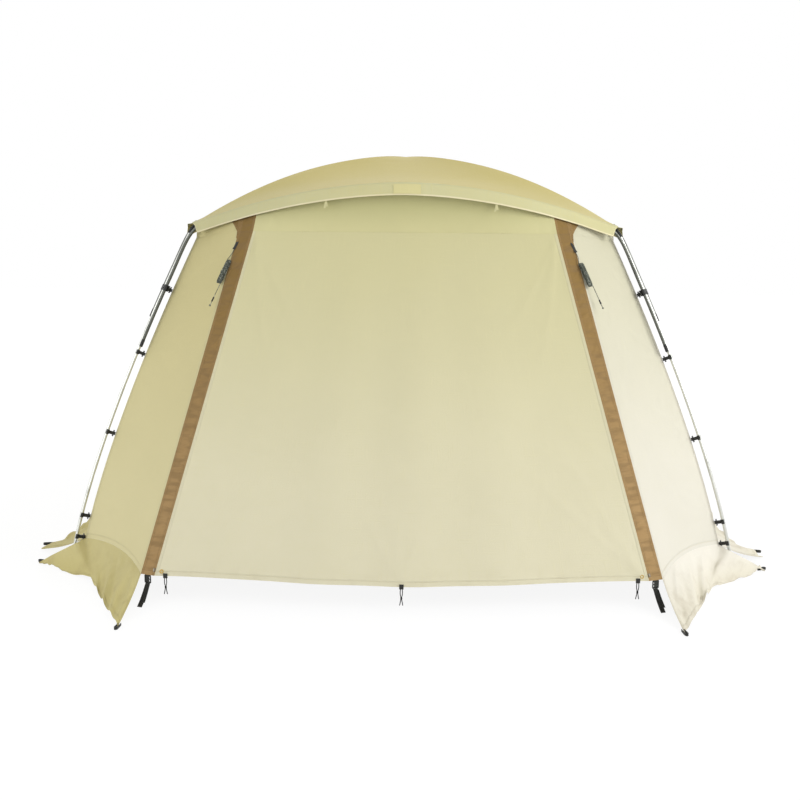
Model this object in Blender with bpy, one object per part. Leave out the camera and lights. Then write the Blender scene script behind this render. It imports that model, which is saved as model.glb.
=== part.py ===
"""A dome party tent: a cloth shelter on crossing poles, with a lifting door front and rear.

The front faces -Y, the ground is z = 0 and the origin lies under the apex. All lengths are metres.
"""

import math

import bmesh
import bpy
import numpy as np
from mathutils import Matrix, Vector

MM = 0.001
GAP = 0.3 * MM  # between pieces that touch
SEAT = 0.9 * MM  # between the square ends of tubes that meet at a slight angle

# Frame
APEX_HEIGHT = 2.124
SHOULDER_HEIGHT = 1.700
SHOULDER_REACH = 1.070  # of a shoulder from the centre, along X and along Y
FOOT_REACH = (1.650, 1.370)  # along X and along Y
LEG_BOW_SHARE = 1.32  # power of the leg's curve, straight at 1
POLE_RADIUS = 8 * MM
POLE_SIDES = 8
EAVE_REACH = 0.300  # how far the front eave bows out past the shoulders
EAVE_RISE = 0.197
BOW_SHARE = 2.6  # powers of the front eave's curve, seen from above and from the front
ARCH_SHARE = 1.8
SIDE_EAVE_REACH = 0.030
SIDE_EAVE_RISE = 0.060
TAIL_SPACING = 22 * MM  # from a leg's axis to the eave pole beside it
FRONT_TAIL_SHARE = 0.653  # of the shoulder's height, where an eave pole's end stops beside the leg
SIDE_TAIL_SHARE = 0.738
ELBOW_LENGTH = 48 * MM
ELBOW_RADIUS = 10.5 * MM
CROSSING_WIDTH = 0.260  # along which one roof pole rises over the other
FOOT_HEIGHT = 42 * MM
FOOT_RADIUS = 17 * MM
LEG_STEPS = 12
ROOF_STEPS = 24
EAVE_STEPS = 20
ELBOW_STEPS = 6
TAIL_STEPS = 4
FOOT_TOP_SHARE = 0.75

# Clips that hold the walls to a leg
WIDE_CLIP_SHARE = 0.824  # of the shoulder's height
WIDE_CLIP_SIZE = (76 * MM, 7 * MM, 30 * MM)
NECK_SHARE = 0.8  # of the wide clip's height, where it grips the leg
CLIP_SHARES = (0.638, 0.407, 0.165)
CLIP_SIZE = (18 * MM, 32 * MM)
CLIP_EASE = 0.8 * MM  # between a clip's end and the cloth
CLIP_SEAT = 0.8 * MM  # between the wide clip's plate and the leg
CLIP_GRIP = 11 * MM  # of a small clip past the leg's axis

# Cloth
CLOTH = 3 * MM
CORNER_INSET = 46 * MM  # of the wall's corner from the leg, in the plane that the leg leans in
HEM_HEIGHT = 0.130
CORNER_HEM_HEIGHT = 0.160
HINGE_HEIGHT = SHOULDER_HEIGHT - 20 * MM
CORNER_TOP_HEIGHT = SHOULDER_HEIGHT - 50 * MM
DOOR_HEM = (1.120, 1.800)
DOOR_TOP = (0.725, 1.320)
STRIP_HEM = (1.188, 1.775)
STRIP_TOP = (0.800, 1.280)
DOOR_SWELL = 70 * MM  # of the door's hem, forward of its corners
DOOR_SAG = 14 * MM
DOOR_FOLDS = 5
FOLD_DEPTH = 5 * MM
SIDE_SWELL = 20 * MM
PANEL_HOLLOW = 26 * MM  # how far a corner panel's hem lifts at its middle
BAND_DROP = 60 * MM
BAND_FLARE = 12 * MM
BAND_EASE = 2.5 * MM  # between the band and the eave pole
BAND_TURN_SHARE = 0.5  # of the way round the pole where the cloth turns down
ROOF_SAG = 28 * MM
HEADER_SEAT_SHARE = 1.05  # of a pole radius, from its axis to the cloth that touches it
ROOF_CLEARANCE_SHARE = 1.27  # of the poles' and the cloth's thickness, for the roof's slope
EAVE_LEAN_SHARE = 0.068  # how much the headers' seams lean in on their way up
CORNER_PULL = 14 * MM  # how far the cloth draws in where the poles pass its corner
CORNER_POWER_SHARE = 8  # powers that keep the drawing in near the corners
PULL_POWER_SHARE = 6
BAND_END_SHARES = (0.945, 0.970)  # of half a side, between which the band's drop ends
POLE_BULGE = 11 * MM  # how much further out the cloth lies there, over the bend of the eave pole
BAND_LEAST_SHARE = 0.02
ROOF_ROWS = 9
ROOF_COLUMN_SHARES = (0.0, 0.22, 0.42, 0.60, 0.76, 0.88, *BAND_END_SHARES)
SIDE_COLUMNS = 12
DOOR_COLUMNS = 18
PANEL_COLUMNS = 5
WALL_ROWS = 8
HEADER_ROWS = 2

# Places along the walls' ring, which starts at the front left corner
DOOR_START = PANEL_COLUMNS + 1
DOOR_END = DOOR_START + DOOR_COLUMNS
FRONT_END = DOOR_END + 1 + PANEL_COLUMNS
HALF_RING = FRONT_END + SIDE_COLUMNS

# Skirts
SKIRT_ROWS = 4
SIDE_SKIRT_REACH = 1.920  # of a side skirt's corners from the centre
SIDE_SKIRT_DRAW = 75 * MM  # how far its edge draws in between its pegs
SIDE_SKIRT_SHARE = 0.79  # of the wall's length, along the ground
SKIRT_SAG = 14 * MM
# A corner skirt's edge on the ground from its tip to its outer peg
SKIRT_GROUND = (
    (1.205, 2.085),
    (1.320, 1.870),
    (1.435, 1.650),
    (1.500, 1.525),
    (1.590, 1.455),
    (1.700, 1.385),
    (1.836, 1.250),
)
# Its free upper edge, from the wall's corner across the front of the leg
SKIRT_FREE_OUT = (0.4, 1.0)
SKIRT_FREE = ((0.028, 0.052, 0.150), (0.078, 0.058, 0.125), (0.170, 0.015, 0.072), (0.264, -0.056, 0.008))

# Straps and buckles at the strips' hems
BUCKLE_SIZE = (34 * MM, 4 * MM, 38 * MM)
BUCKLE_BAR = 5 * MM
BUCKLE_GAP = 0.9 * MM
STRAP_WIDTH = 25 * MM
STRAP_THICKNESS = 1.6 * MM
STRAP_RUN = 70 * MM
STRAP_SAG = 6 * MM
STRAP_STEPS = 6

# Zip sliders
SLIDER_SIZE = (11 * MM, 5 * MM, 17 * MM)
SLIDER_LIFT = 25 * MM
SLIDER_ASIDE = 1.5 * MM  # from the door, which swings past it

# Guy lines
GUY_RADIUS = 1.6 * MM
HANK_LOOPS = 6
HANK_PITCH = 3.8 * MM
HANK_HALF_HEIGHT = 62 * MM
HANK_HALF_DEPTH = 9 * MM
HANK_WAIST_SHARE = 0.55
HANK_POINTS = 18
NEIGHBOUR_POINTS = 12  # points of a cord that count as one stretch
GUY_LEAD = 60 * MM
GUY_TAIL = 120 * MM
RUNNER_SIZE = (8 * MM, 8 * MM, 22 * MM)
RUNNER_DROP = 85 * MM  # below the hank
GUY_SHARE = 0.945  # of the strip's height, where a guy line starts
GUY_ASIDE = 37 * MM  # from the strip's middle, towards the leg
GUY_SLOPE_SHARE = 0.10  # of its drop, away from the cloth
GUY_LEAN_SHARE = 0.12  # of its drop, towards the leg

# Elastic loops on the door's hem
LOOP_RADIUS = 1.5 * MM
LOOP_HALF_WIDTH = 5 * MM
LOOP_DROP = 84 * MM
LOOP_KNOT = 52 * MM
LOOP_BULGE_SHARES = ((0.8, 0.12), (1.0, 0.35))  # of its half width and its drop
LOOP_END_SHARE = 1.4
LOOP_SHARES = (-0.955, 0.0, 0.955)


def clear_scene():
    for item in list(bpy.data.objects):
        bpy.data.objects.remove(item, do_unlink=True)


def material(name, colour, roughness, metallic=0.0):
    made = bpy.data.materials.new(name)
    made.use_nodes = True
    shader = made.node_tree.nodes["Principled BSDF"]
    shader.inputs["Base Color"].default_value = (*colour, 1.0)
    shader.inputs["Roughness"].default_value = roughness
    shader.inputs["Metallic"].default_value = metallic
    return made


def add(name, data, look):
    made = bpy.data.objects.new(name, data)
    data.materials.append(look)
    bpy.context.scene.collection.objects.link(made)
    return made


def mesh_object(name, points, faces, look, smooth=True):
    data = bpy.data.meshes.new(name)
    data.from_pydata([tuple(map(float, p)) for p in points], [], faces)
    shape = bmesh.new()
    shape.from_mesh(data)
    bmesh.ops.recalc_face_normals(shape, faces=shape.faces)
    shape.to_mesh(data)
    shape.free()
    if smooth:
        data.shade_smooth()
        data.set_sharp_from_angle(angle=math.radians(40))
    return add(name, data, look)


def slab(name, outer, inner, look):
    """A closed sheet between two grids of points, indexed by row and column."""
    rows, columns = outer.shape[:2]
    points = np.concatenate([outer.reshape(-1, 3), inner.reshape(-1, 3)])
    back = rows * columns

    def at(row, column):
        return row * columns + column

    faces = []
    for row in range(rows - 1):
        for column in range(columns - 1):
            a, b, c, d = at(row, column), at(row, column + 1), at(row + 1, column + 1), at(row + 1, column)
            for three in ((a, b, c), (a, c, d)):
                faces.append(three)
                faces.append(tuple(back + i for i in reversed(three)))
    rim = [at(0, c) for c in range(columns)] + [at(r, columns - 1) for r in range(1, rows)]
    rim += [at(rows - 1, c) for c in range(columns - 2, -1, -1)] + [at(r, 0) for r in range(rows - 2, 0, -1)]
    for a, b in zip(rim, rim[1:] + rim[:1]):
        faces.append((b, a, back + a, back + b))
    return mesh_object(name, points, faces, look)


def tube(name, points, radius, look, resolution=2):
    data = bpy.data.curves.new(name, "CURVE")
    data.dimensions = "3D"
    data.bevel_depth = radius
    data.bevel_resolution = resolution
    data.use_fill_caps = True
    line = data.splines.new("POLY")
    line.points.add(len(points) - 1)
    for place, point in zip(line.points, points):
        place.co = (*map(float, point), 1.0)
    return add(name, data, look)


def box_mesh(size, axes, centre):
    """Corners and faces of a box with the given sides along three axes."""
    corners = []
    for i in (-1, 1):
        for j in (-1, 1):
            for k in (-1, 1):
                corners.append(centre + sum(s * h / 2 * a for s, h, a in zip((i, j, k), size, axes)))
    faces = [(0, 1, 3, 2), (4, 6, 7, 5), (0, 4, 5, 1), (2, 3, 7, 6), (0, 2, 6, 4), (1, 5, 7, 3)]
    return corners, faces


def unit(vector):
    return vector / np.linalg.norm(vector)


def smooth_line(points, step):
    """Points about one step apart on a smooth curve through the given ones."""
    points = np.asarray(points, float)
    padded = np.concatenate([[2 * points[0] - points[1]], points, [2 * points[-1] - points[-2]]])
    line = []
    for i in range(len(points) - 1):
        a, b, c, d = padded[i : i + 4]
        count = max(1, round(np.linalg.norm(c - b) / step))
        for t in np.arange(count) / count:
            turn = 2 * b + (c - a) * t + (2 * a - 5 * b + 4 * c - d) * t**2
            line.append((turn + (3 * b - a - 3 * c + d) * t**3) / 2)
    return [*line, points[-1]]


# The frame's curves


def leg_reach(height):
    """A leg's distance from the centre at a height, along X and along Y."""
    bow = (height / SHOULDER_HEIGHT) ** LEG_BOW_SHARE
    return np.array(FOOT_REACH) * (1 - bow) + SHOULDER_REACH * bow


def roof_height(reach):
    return APEX_HEIGHT - (APEX_HEIGHT - SHOULDER_HEIGHT) * (reach / SHOULDER_REACH) ** 2


def crossing_rise(reach):
    return (2 * POLE_RADIUS + 2 * GAP) * math.exp(-((reach / CROSSING_WIDTH) ** 2))


def eave(across, side):
    """A point on an eave's arch, from -1 to 1 between its shoulders, with the sides in turn from 0 at the front."""
    bow, arch = eave_shape(across, side)
    return quarter_turned((across * SHOULDER_REACH, -(SHOULDER_REACH + bow), SHOULDER_HEIGHT + arch), side)


def eave_shape(across, side):
    """How far an eave lies out past the line between its shoulders, and above it."""
    if side % 2:
        return SIDE_EAVE_REACH * (1 - across**2), SIDE_EAVE_RISE * (1 - across**2)
    return EAVE_REACH * (1 - abs(across) ** BOW_SHARE), EAVE_RISE * (1 - abs(across) ** ARCH_SHARE)


def quarter_turned(point, side):
    x, y, z = point
    for _ in range(side):
        x, y = -y, x
    return np.array((x, y, z))


def at_corner(x, y, z, corner):
    """A point given by its distances along X and Y, on the side of one of the corners."""
    right, rear = corner < 2, corner in (1, 2)
    return np.array((x if right else -x, y if rear else -y, z))


def corner_axes(corner):
    """The level way in which a leg leans outward, and the way sideways of it."""
    lean = leg_reach(0) - leg_reach(SHOULDER_HEIGHT)
    outward = unit(at_corner(*lean, 0, corner))
    return outward, np.array((-outward[1], outward[0], 0))


def leg_point(corner, height):
    return at_corner(*leg_reach(height), height, corner)


CORNERS = ("front_right", "rear_right", "rear_left", "front_left")
SIDES = ("front", "right", "rear", "left")


def turns(count):
    return [2 * math.pi * i / count for i in range(count)]


def rod(name, points, radius, look):
    """A straight-sided mesh tube along a gentle curve that is nowhere upright."""
    points = np.asarray(points, float)
    corners = []
    for i, point in enumerate(points):
        along = unit(points[min(i + 1, len(points) - 1)] - points[max(i - 1, 0)])
        across = unit(np.cross(along, (0, 0, 1)))
        other = np.cross(along, across)
        corners += [point + radius * (math.cos(a) * across + math.sin(a) * other) for a in turns(POLE_SIDES)]
    last = len(corners) - POLE_SIDES
    faces = [tuple(range(POLE_SIDES)), tuple(range(last, len(corners)))]
    for start in range(0, last, POLE_SIDES):
        for i in range(POLE_SIDES):
            j = (i + 1) % POLE_SIDES
            faces.append((start + i, start + j, start + POLE_SIDES + j, start + POLE_SIDES + i))
    return mesh_object(name, corners, faces, look)


def make_legs(steel, black):
    for corner, where in enumerate(CORNERS):
        outward, sideways = corner_axes(corner)
        top = SHOULDER_HEIGHT - ELBOW_LENGTH / 2
        heights = np.linspace(FOOT_HEIGHT + SEAT, top, LEG_STEPS)
        leg = rod(f"{where}_leg_pole", [leg_point(corner, z) for z in heights], POLE_RADIUS, steel)
        add_wide_clip(leg, corner, black)
        for share in (WIDE_CLIP_SHARE, *CLIP_SHARES):
            add_small_clip(leg, corner, share * SHOULDER_HEIGHT, black)
        centre, axes = clip_axes(corner, FOOT_HEIGHT)
        angles = turns(2 * POLE_SIDES)
        ring = [math.cos(a) * outward + math.sin(a) * sideways for a in angles]
        ring = [leg_point(corner, 0) + FOOT_RADIUS * spoke for spoke in ring]
        top_radius = FOOT_TOP_SHARE * FOOT_RADIUS
        top = [centre + top_radius * (math.sin(a) * axes[0] - math.cos(a) * axes[1]) for a in angles]
        count = len(ring)
        faces = [tuple(range(count)), tuple(range(count, 2 * count))]
        faces += [(i, (i + 1) % count, count + (i + 1) % count, count + i) for i in range(count)]
        mesh_object(f"{where}_foot_cap", ring + top, faces, black)


def clip_axes(corner, height):
    """The leg's axis at a height, with the directions sideways, in towards the cloth, and up the leg."""
    outward, sideways = corner_axes(corner)
    centre = leg_point(corner, height)
    along = unit(leg_point(corner, height + MM) - centre)
    inward = unit(np.cross(along, sideways))
    return centre, (sideways, inward if inward @ outward < 0 else -inward, along)


def add_wide_clip(leg, corner, look):
    """Joins the plate that backs the leg and the two eave poles' ends."""
    centre, axes = clip_axes(corner, WIDE_CLIP_SHARE * SHOULDER_HEIGHT)
    depth = WIDE_CLIP_SIZE[1]
    join(leg, *box_mesh(WIDE_CLIP_SIZE, axes, centre + axes[1] * (POLE_RADIUS + CLIP_SEAT + depth / 2)), look)
    neck = (POLE_RADIUS, 2 * POLE_RADIUS, NECK_SHARE * WIDE_CLIP_SIZE[2])
    join(leg, *box_mesh(neck, axes, centre + axes[1] * POLE_RADIUS), look)


def add_small_clip(leg, corner, height, look):
    """Joins a clip that grips the leg and reaches in to the cloth."""
    centre, axes = clip_axes(corner, height)
    level_share = math.hypot(*axes[1][:2])
    reach = CORNER_INSET * level_share - CLIP_EASE
    size = (CLIP_SIZE[0], reach + CLIP_GRIP, CLIP_SIZE[1])
    join(leg, *box_mesh(size, axes, centre + axes[1] * (reach - CLIP_GRIP) / 2), look)


def join(target, points, faces, look):
    """Makes a helper solid and unites it with the target."""
    boolean(target, mesh_object(target.name + "_part", points, faces, look, smooth=False), "UNION")


def boolean(target, helper, operation):
    helper.hide_render = True
    helper.display_type = "WIRE"
    made = target.modifiers.new(helper.name, "BOOLEAN")
    made.operation = operation
    made.object = helper


def set_origin(item, point):
    """Puts a moving piece's origin on its joint's axis."""
    item.data.transform(Matrix.Translation(-Vector(point)))
    item.location = point


def make_roof_poles(steel, black):
    end = SHOULDER_REACH - ELBOW_LENGTH / 4
    reaches = np.linspace(-end, end, ROOF_STEPS + 1)
    for corner, name in enumerate(("front_right_roof_pole", "front_left_roof_pole")):
        line = []
        for reach in reaches:
            height = roof_height(reach) + (crossing_rise(reach) if corner == 0 else 0)
            line.append(quarter_turned((reach, -reach, height), 3 * corner))
        rod(name, line, POLE_RADIUS, steel)
    for corner, where in enumerate(CORNERS):
        leg_top = leg_point(corner, SHOULDER_HEIGHT - ELBOW_LENGTH / 2)
        pole_end = quarter_turned((end, -end, roof_height(end)), corner)
        below = unit(leg_top - leg_point(corner, SHOULDER_HEIGHT - ELBOW_LENGTH))
        inside = quarter_turned((end - MM, MM - end, roof_height(end - MM)), corner)
        above = unit(inside - pole_end)
        bend = corner_bend(leg_top + below * SEAT, below, pole_end - above * SEAT, above)
        rod(f"{where}_shoulder_elbow", bend, ELBOW_RADIUS, black)


def corner_bend(start, out, stop, on):
    """Points on a curve that leaves one end and reaches the other squarely."""
    reach = np.linalg.norm(stop - start)
    line = []
    for t in np.linspace(0, 1, ELBOW_STEPS + 1):
        hold = (2 * t**3 - 3 * t**2 + 1) * start + (3 * t**2 - 2 * t**3) * stop
        line.append(hold + (t**3 - 2 * t**2 + t) * reach * out + (t**3 - t**2) * reach * on)
    return line


def eave_pole_line(side):
    """From the end beside one leg, up past its shoulder, along the eave and down the next leg."""
    tail = (SIDE_TAIL_SHARE if side % 2 else FRONT_TAIL_SHARE) * SHOULDER_HEIGHT
    start = TAIL_SPACING * math.sqrt(2) / SHOULDER_REACH
    arch = [eave(u, side) for u in np.linspace(-1 + 2 * start, 1 - 2 * start, EAVE_STEPS)]
    ends = []
    for end in (-1, 1):
        corner = (side if end == 1 else side + 3) % 4
        _, sideways = corner_axes(corner)
        heights = np.linspace(tail, SHOULDER_HEIGHT - ELBOW_LENGTH, TAIL_STEPS)
        ends.append([leg_point(corner, z) - end * TAIL_SPACING * sideways for z in heights])
    return smooth_line([*ends[0], *arch, *reversed(ends[1])], 9 * POLE_RADIUS)


def make_eave_poles(steel):
    for side, where in enumerate(SIDES):
        tube(f"{where}_eave_pole", eave_pole_line(side), POLE_RADIUS, steel, resolution=2)


# The walls' ring: every panel is cut from it, so that neighbours share their seams


def between(a, b, share):
    return np.asarray(a, float) * (1 - share) + np.asarray(b, float) * share


def corner_line(share):
    """A point on the wall's corner beside the front right leg, from the hem at 0 to the top at 1."""
    height = CORNER_HEM_HEIGHT + (CORNER_TOP_HEIGHT - CORNER_HEM_HEIGHT) * share
    return leg_point(0, height) - corner_axes(0)[0] * CORNER_INSET


def seam_line(hem, top, share):
    x, y = between(hem, top, share)
    return np.array((x, -y, HEM_HEIGHT + (HINGE_HEIGHT - HEM_HEIGHT) * share))


def door_point(across, share):
    x, y, z = seam_line(DOOR_HEM, DOOR_TOP, share)
    rest = 1 - share
    arch = (1 - across**2) ** 2
    folds = FOLD_DEPTH * math.sin(DOOR_FOLDS * math.pi * across + rest) * rest * (2 - rest)
    return np.array((x * across, y - (DOOR_SWELL * rest + folds) * arch, z - DOOR_SAG * arch * rest))


def panel_point(across, share):
    point = between(seam_line(STRIP_HEM, STRIP_TOP, share), corner_line(share), across)
    hollow = PANEL_HOLLOW * 4 * across * (1 - across) * (1 - share) ** 2
    return point + np.array((-hollow, hollow, hollow))


def side_point(across, share):
    x, y, height = corner_line(share)
    swell = SIDE_SWELL * (1 - across**2)
    return np.array((x + swell, -y * across, height - swell * (1 - share)))


def wall_ring(share):
    """One closed turn of the wall at a share of its height, starting at the front left corner."""
    front = [door_point(u, share) for u in np.linspace(-1, 1, DOOR_COLUMNS + 1)]
    panel = [panel_point(u, share) for u in np.linspace(0, 1, PANEL_COLUMNS + 1)]
    right = [side_point(u, share) for u in np.linspace(-1, 1, SIDE_COLUMNS + 1)][1:-1]
    front = [*[p * np.array((-1, 1, 1)) for p in reversed(panel)], *front, *panel]
    half = [*front, *right]
    return np.array([*half, *[p * np.array((-1, -1, 1)) for p in half]])


def outward_of(ring):
    """Level outward directions at each point of a closed ring, longer at its corners to mitre the seams."""
    ahead = np.roll(ring, -1, axis=0) - ring
    ahead = np.stack([ahead[:, 1], -ahead[:, 0], 0 * ahead[:, 0]], axis=1)
    ahead /= np.linalg.norm(ahead, axis=1)[:, None]
    middle = ahead + np.roll(ahead, 1, axis=0)
    return middle / (middle * ahead).sum(axis=1)[:, None]


def cut(name, rings, outs, start, count, look, rise=0.0, depths=None):
    """A panel of the ring from one point to another, with half a gap left at each seam."""
    places = [(start + i) % rings.shape[1] for i in range(count + 1)]
    outer = rings[:, places].copy()
    depths = np.full(len(rings), CLOTH) if depths is None else np.asarray(depths)
    depth = outs[:, places] * depths[:, None, None]
    for end, inner in ((0, 1), (-1, -2)):
        along = outer[:, inner] - outer[:, end]
        outer[:, end] += along / np.linalg.norm(along, axis=1)[:, None] * GAP
    outer[0, :, 2] += rise
    return slab(name, outer, outer - depth, look)


def eave_ring(first):
    """The ring's turn along the eaves: the wall's top turn carried up to touch the eave poles from inside."""
    line, corner = [], []
    for point in first[:HALF_RING]:
        side = 0 if len(line) <= FRONT_END else 1
        u = point[side] / abs(corner_line(1)[side])
        lean = 0 if side else EAVE_LEAN_SHARE * (1 - u**2)
        line.append(eave(u * (1 - lean), side))
        corner.append(u**CORNER_POWER_SHARE)
    line = np.array([*line, *(p * (-1, -1, 1) for p in line)])
    outs = outward_of(line)
    level = outs / np.linalg.norm(outs, axis=1)[:, None]
    step = line - first
    back = (step * level).sum(axis=1)
    rise = step[:, 2]
    inward = (back[:, None] * (0, 0, 1) - rise[:, None] * level) / np.hypot(back, rise)[:, None]
    corner = np.array(corner * 2)[:, None]
    touch = line + inward * (HEADER_SEAT_SHARE * POLE_RADIUS + GAP)
    return touch - corner * (outs * CORNER_PULL + (0, 0, POLE_RADIUS))


def make_walls(looks):
    rings = np.array([wall_ring(v) for v in np.linspace(0, 1, WALL_ROWS + 1)])
    top = eave_ring(rings[-1])
    upper = np.array([between(rings[-1], top, v) for v in np.linspace(0, 1, HEADER_ROWS + 1)])
    outs = np.array([outward_of(ring) for ring in rings])
    upper_outs = np.array([outward_of(ring) for ring in upper])
    for side, where, door in ((0, "front", DOOR_START), (1, "rear", HALF_RING + DOOR_START)):
        start = side * HALF_RING
        leaf = cut(f"{where}_door", rings, outs, door, DOOR_COLUMNS, looks["wall"])
        hinge = rings[-1][[door, door + DOOR_COLUMNS]].mean(axis=0)
        set_origin(leaf, hinge)
        cut(f"{where}_header", upper, upper_outs, start, FRONT_END, looks["wall"], rise=GAP)
        for end, first, strip in ((1, DOOR_END + 1, DOOR_END), (-1, 0, DOOR_START - 1)):
            hand = "right" if end == (1 if side == 0 else -1) else "left"
            cut(f"{where}_{hand}_corner_panel", rings, outs, start + first, PANEL_COLUMNS, looks["wall"])
            cut(f"{where}_{hand}_corner_strip", rings, outs, start + strip, 1, looks["strip"])
    whole = np.concatenate([rings, upper[1:]])
    whole_outs = np.concatenate([outs, upper_outs[1:]])
    for start, hand in ((FRONT_END, "right"), (HALF_RING + FRONT_END, "left")):
        cut(f"{hand}_side_wall", whole, whole_outs, start, SIDE_COLUMNS, looks["wall"])
    return rings, outs


def make_roof(look):
    """One sheet over the poles, with a band that hangs outside the eaves."""
    acrosses = [-1, *(-u for u in ROOF_COLUMN_SHARES[:0:-1]), *ROOF_COLUMN_SHARES]
    lift = ROOF_CLEARANCE_SHARE * (POLE_RADIUS + GAP + CLOTH)
    shares = np.arange(1, ROOF_ROWS + 1) / ROOF_ROWS
    rows = [[roof_point(u, share, side) for side in range(4) for u in acrosses] for share in shares]
    rows = np.array(rows) + (0, 0, lift)
    rim, outs = rows[-1], outward_of(rows[-1])
    band = np.array([band_share(u) for _ in range(4) for u in acrosses])[:, None]
    bulge = np.array([POLE_BULGE * (abs(u) in BAND_END_SHARES) for _ in range(4) for u in acrosses])[:, None]
    reach = outs * (POLE_RADIUS + GAP + CLOTH + BAND_EASE + bulge)
    shoulder = rim + reach - band * (0, 0, BAND_TURN_SHARE * lift)
    hem = rim + reach + outs * BAND_FLARE * band - band * (0, 0, BAND_DROP)
    rows[-1] = rim + reach * BAND_TURN_SHARE
    rows = np.concatenate([rows, [shoulder, hem]])
    apex = np.array((0, 0, roof_height(0) + crossing_rise(0) + lift))
    count = rows.shape[1]
    points = [apex, *rows.reshape(-1, 3)]
    faces = [(0, 1 + i, 1 + (i + 1) % count) for i in range(count)]
    for row in range(len(rows) - 1):
        for i in range(count):
            j = (i + 1) % count
            a, b = 1 + row * count + i, 1 + row * count + j
            faces += [(a, b, b + count), (a, b + count, a + count)]
    sheet = mesh_object("roof_canopy", points, faces, look)
    thick = sheet.modifiers.new("thickness", "SOLIDIFY")
    thick.thickness = CLOTH
    thick.offset = -1
    thick.use_even_offset = True


def roof_point(across, share, side):
    bow, arch = eave_shape(across, side)
    pulled = np.interp(abs(across), (BAND_END_SHARES[1], 1), (0, 1))
    s = share * (SHOULDER_REACH - CORNER_PULL * 2 * pulled * share**PULL_POWER_SHARE)
    sag = ROOF_SAG * math.sin(math.pi * share) * (1 - across**2)
    height = roof_height(s) + crossing_rise(s) + arch * share**3 - sag
    return quarter_turned((across * s, -(s + bow * share**3), height), side)


def band_share(across):
    return np.interp(abs(across), BAND_END_SHARES, (1, BAND_LEAST_SHARE))


def make_skirts(rings, outs, look):
    """Skirts sewn under the hems of the corner panels and sides, which run out to the ground."""
    for side, where in ((0, "front"), (1, "rear")):
        for end, first in ((1, DOOR_END + 1), (-1, 0)):
            hand = "right" if end == (1 if side == 0 else -1) else "left"
            places = [(side * HALF_RING + first + i) % rings.shape[1] for i in range(PANEL_COLUMNS + 1)]
            hem, out = rings[0][places], outs[0][places]
            if end == -1:
                hem, out = hem[::-1], out[::-1]
            corner = CORNERS.index(f"{where}_{hand}")
            free = [hem[-1] * (1, 1, 0) + at_corner(x, y, z, corner) for x, y, z in SKIRT_FREE]
            ground = spread([at_corner(x, y, 0, corner) for x, y in SKIRT_GROUND], len(hem) + len(free))
            hem, free_out = np.array([*hem, *free]), at_corner(*SKIRT_FREE_OUT, 0, corner)
            out = np.array([*out, *[free_out] * len(free)])
            skirt(f"{where}_{hand}_corner_skirt", hem, out, ground, look)
    for start, hand in ((FRONT_END, "right"), (HALF_RING + FRONT_END, "left")):
        places = [(start + i) % rings.shape[1] for i in range(SIDE_COLUMNS + 1)]
        hem = rings[0][places]
        acrosses = np.linspace(-1, 1, SIDE_COLUMNS + 1)
        sign = 1 if hand == "right" else -1
        reach = SIDE_SKIRT_REACH - SIDE_SKIRT_DRAW * np.sin(np.pi * acrosses) ** 2
        lengths = SIDE_SKIRT_SHARE ** (acrosses**4)
        ground = np.array([(sign * r, p[1] * share, 0) for p, r, share in zip(hem, reach, lengths)])
        skirt(f"{hand}_side_skirt", hem, outs[0][places], ground, look)


def spread(points, count):
    """As many points as asked, evenly apart along a line through the given ones."""
    points = np.array(points)
    run = np.concatenate([[0], np.cumsum(np.linalg.norm(np.diff(points, axis=0), axis=1))])
    places = np.linspace(0, run[-1], count)
    return np.stack([np.interp(places, run, points[:, k]) for k in range(3)], axis=1)


def skirt(name, hem, outs, ground, look):
    drops = np.linspace(0, 1, SKIRT_ROWS + 1)
    hem = hem - (0, 0, GAP)
    rows = np.array([between(hem, ground, d) for d in drops])
    for row, drop in zip(rows, drops):
        row[:, 2] -= SKIRT_SAG * 4 * drop * (1 - drop)
        row[:, 2] = np.maximum(row[:, 2], 0)
    for end, inner in ((0, 1), (-1, -2)):
        along = rows[:, inner] - rows[:, end]
        rows[:, end] += along / np.linalg.norm(along, axis=1)[:, None] * GAP
    depth = outs * (CLOTH * (1 + drops))[:, None, None]
    slab(name, rows, rows - depth, look)


def strip_frame(rings, side, end, share):
    """The middle of a corner strip's face at a share of its height, with directions out, across and up."""
    first = side * HALF_RING + (DOOR_END if end == 1 else DOOR_START - 1)
    heights = np.linspace(0, 1, len(rings))
    edges = [[np.interp(share, heights, rings[:, i, k]) for k in range(3)] for i in (first, first + 1)]
    middles = rings[:, [first, first + 1]].mean(axis=1)
    up = unit(middles[-1] - middles[0])
    across = unit(np.subtract(*reversed(edges)))
    return between(*edges, 0.5), unit(np.cross(across, up)), across, up


def buckle_frame(rings, side, end):
    """The middle of a buckle's top edge under its strip, with directions across, out and up."""
    point, out, across, _ = strip_frame(rings, side, end, 0)
    level = unit(np.array((out[0], out[1], 0)))
    return point - level * CLOTH / 2 - (0, 0, BUCKLE_GAP), (across, level, np.array((0, 0, 1)))


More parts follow.
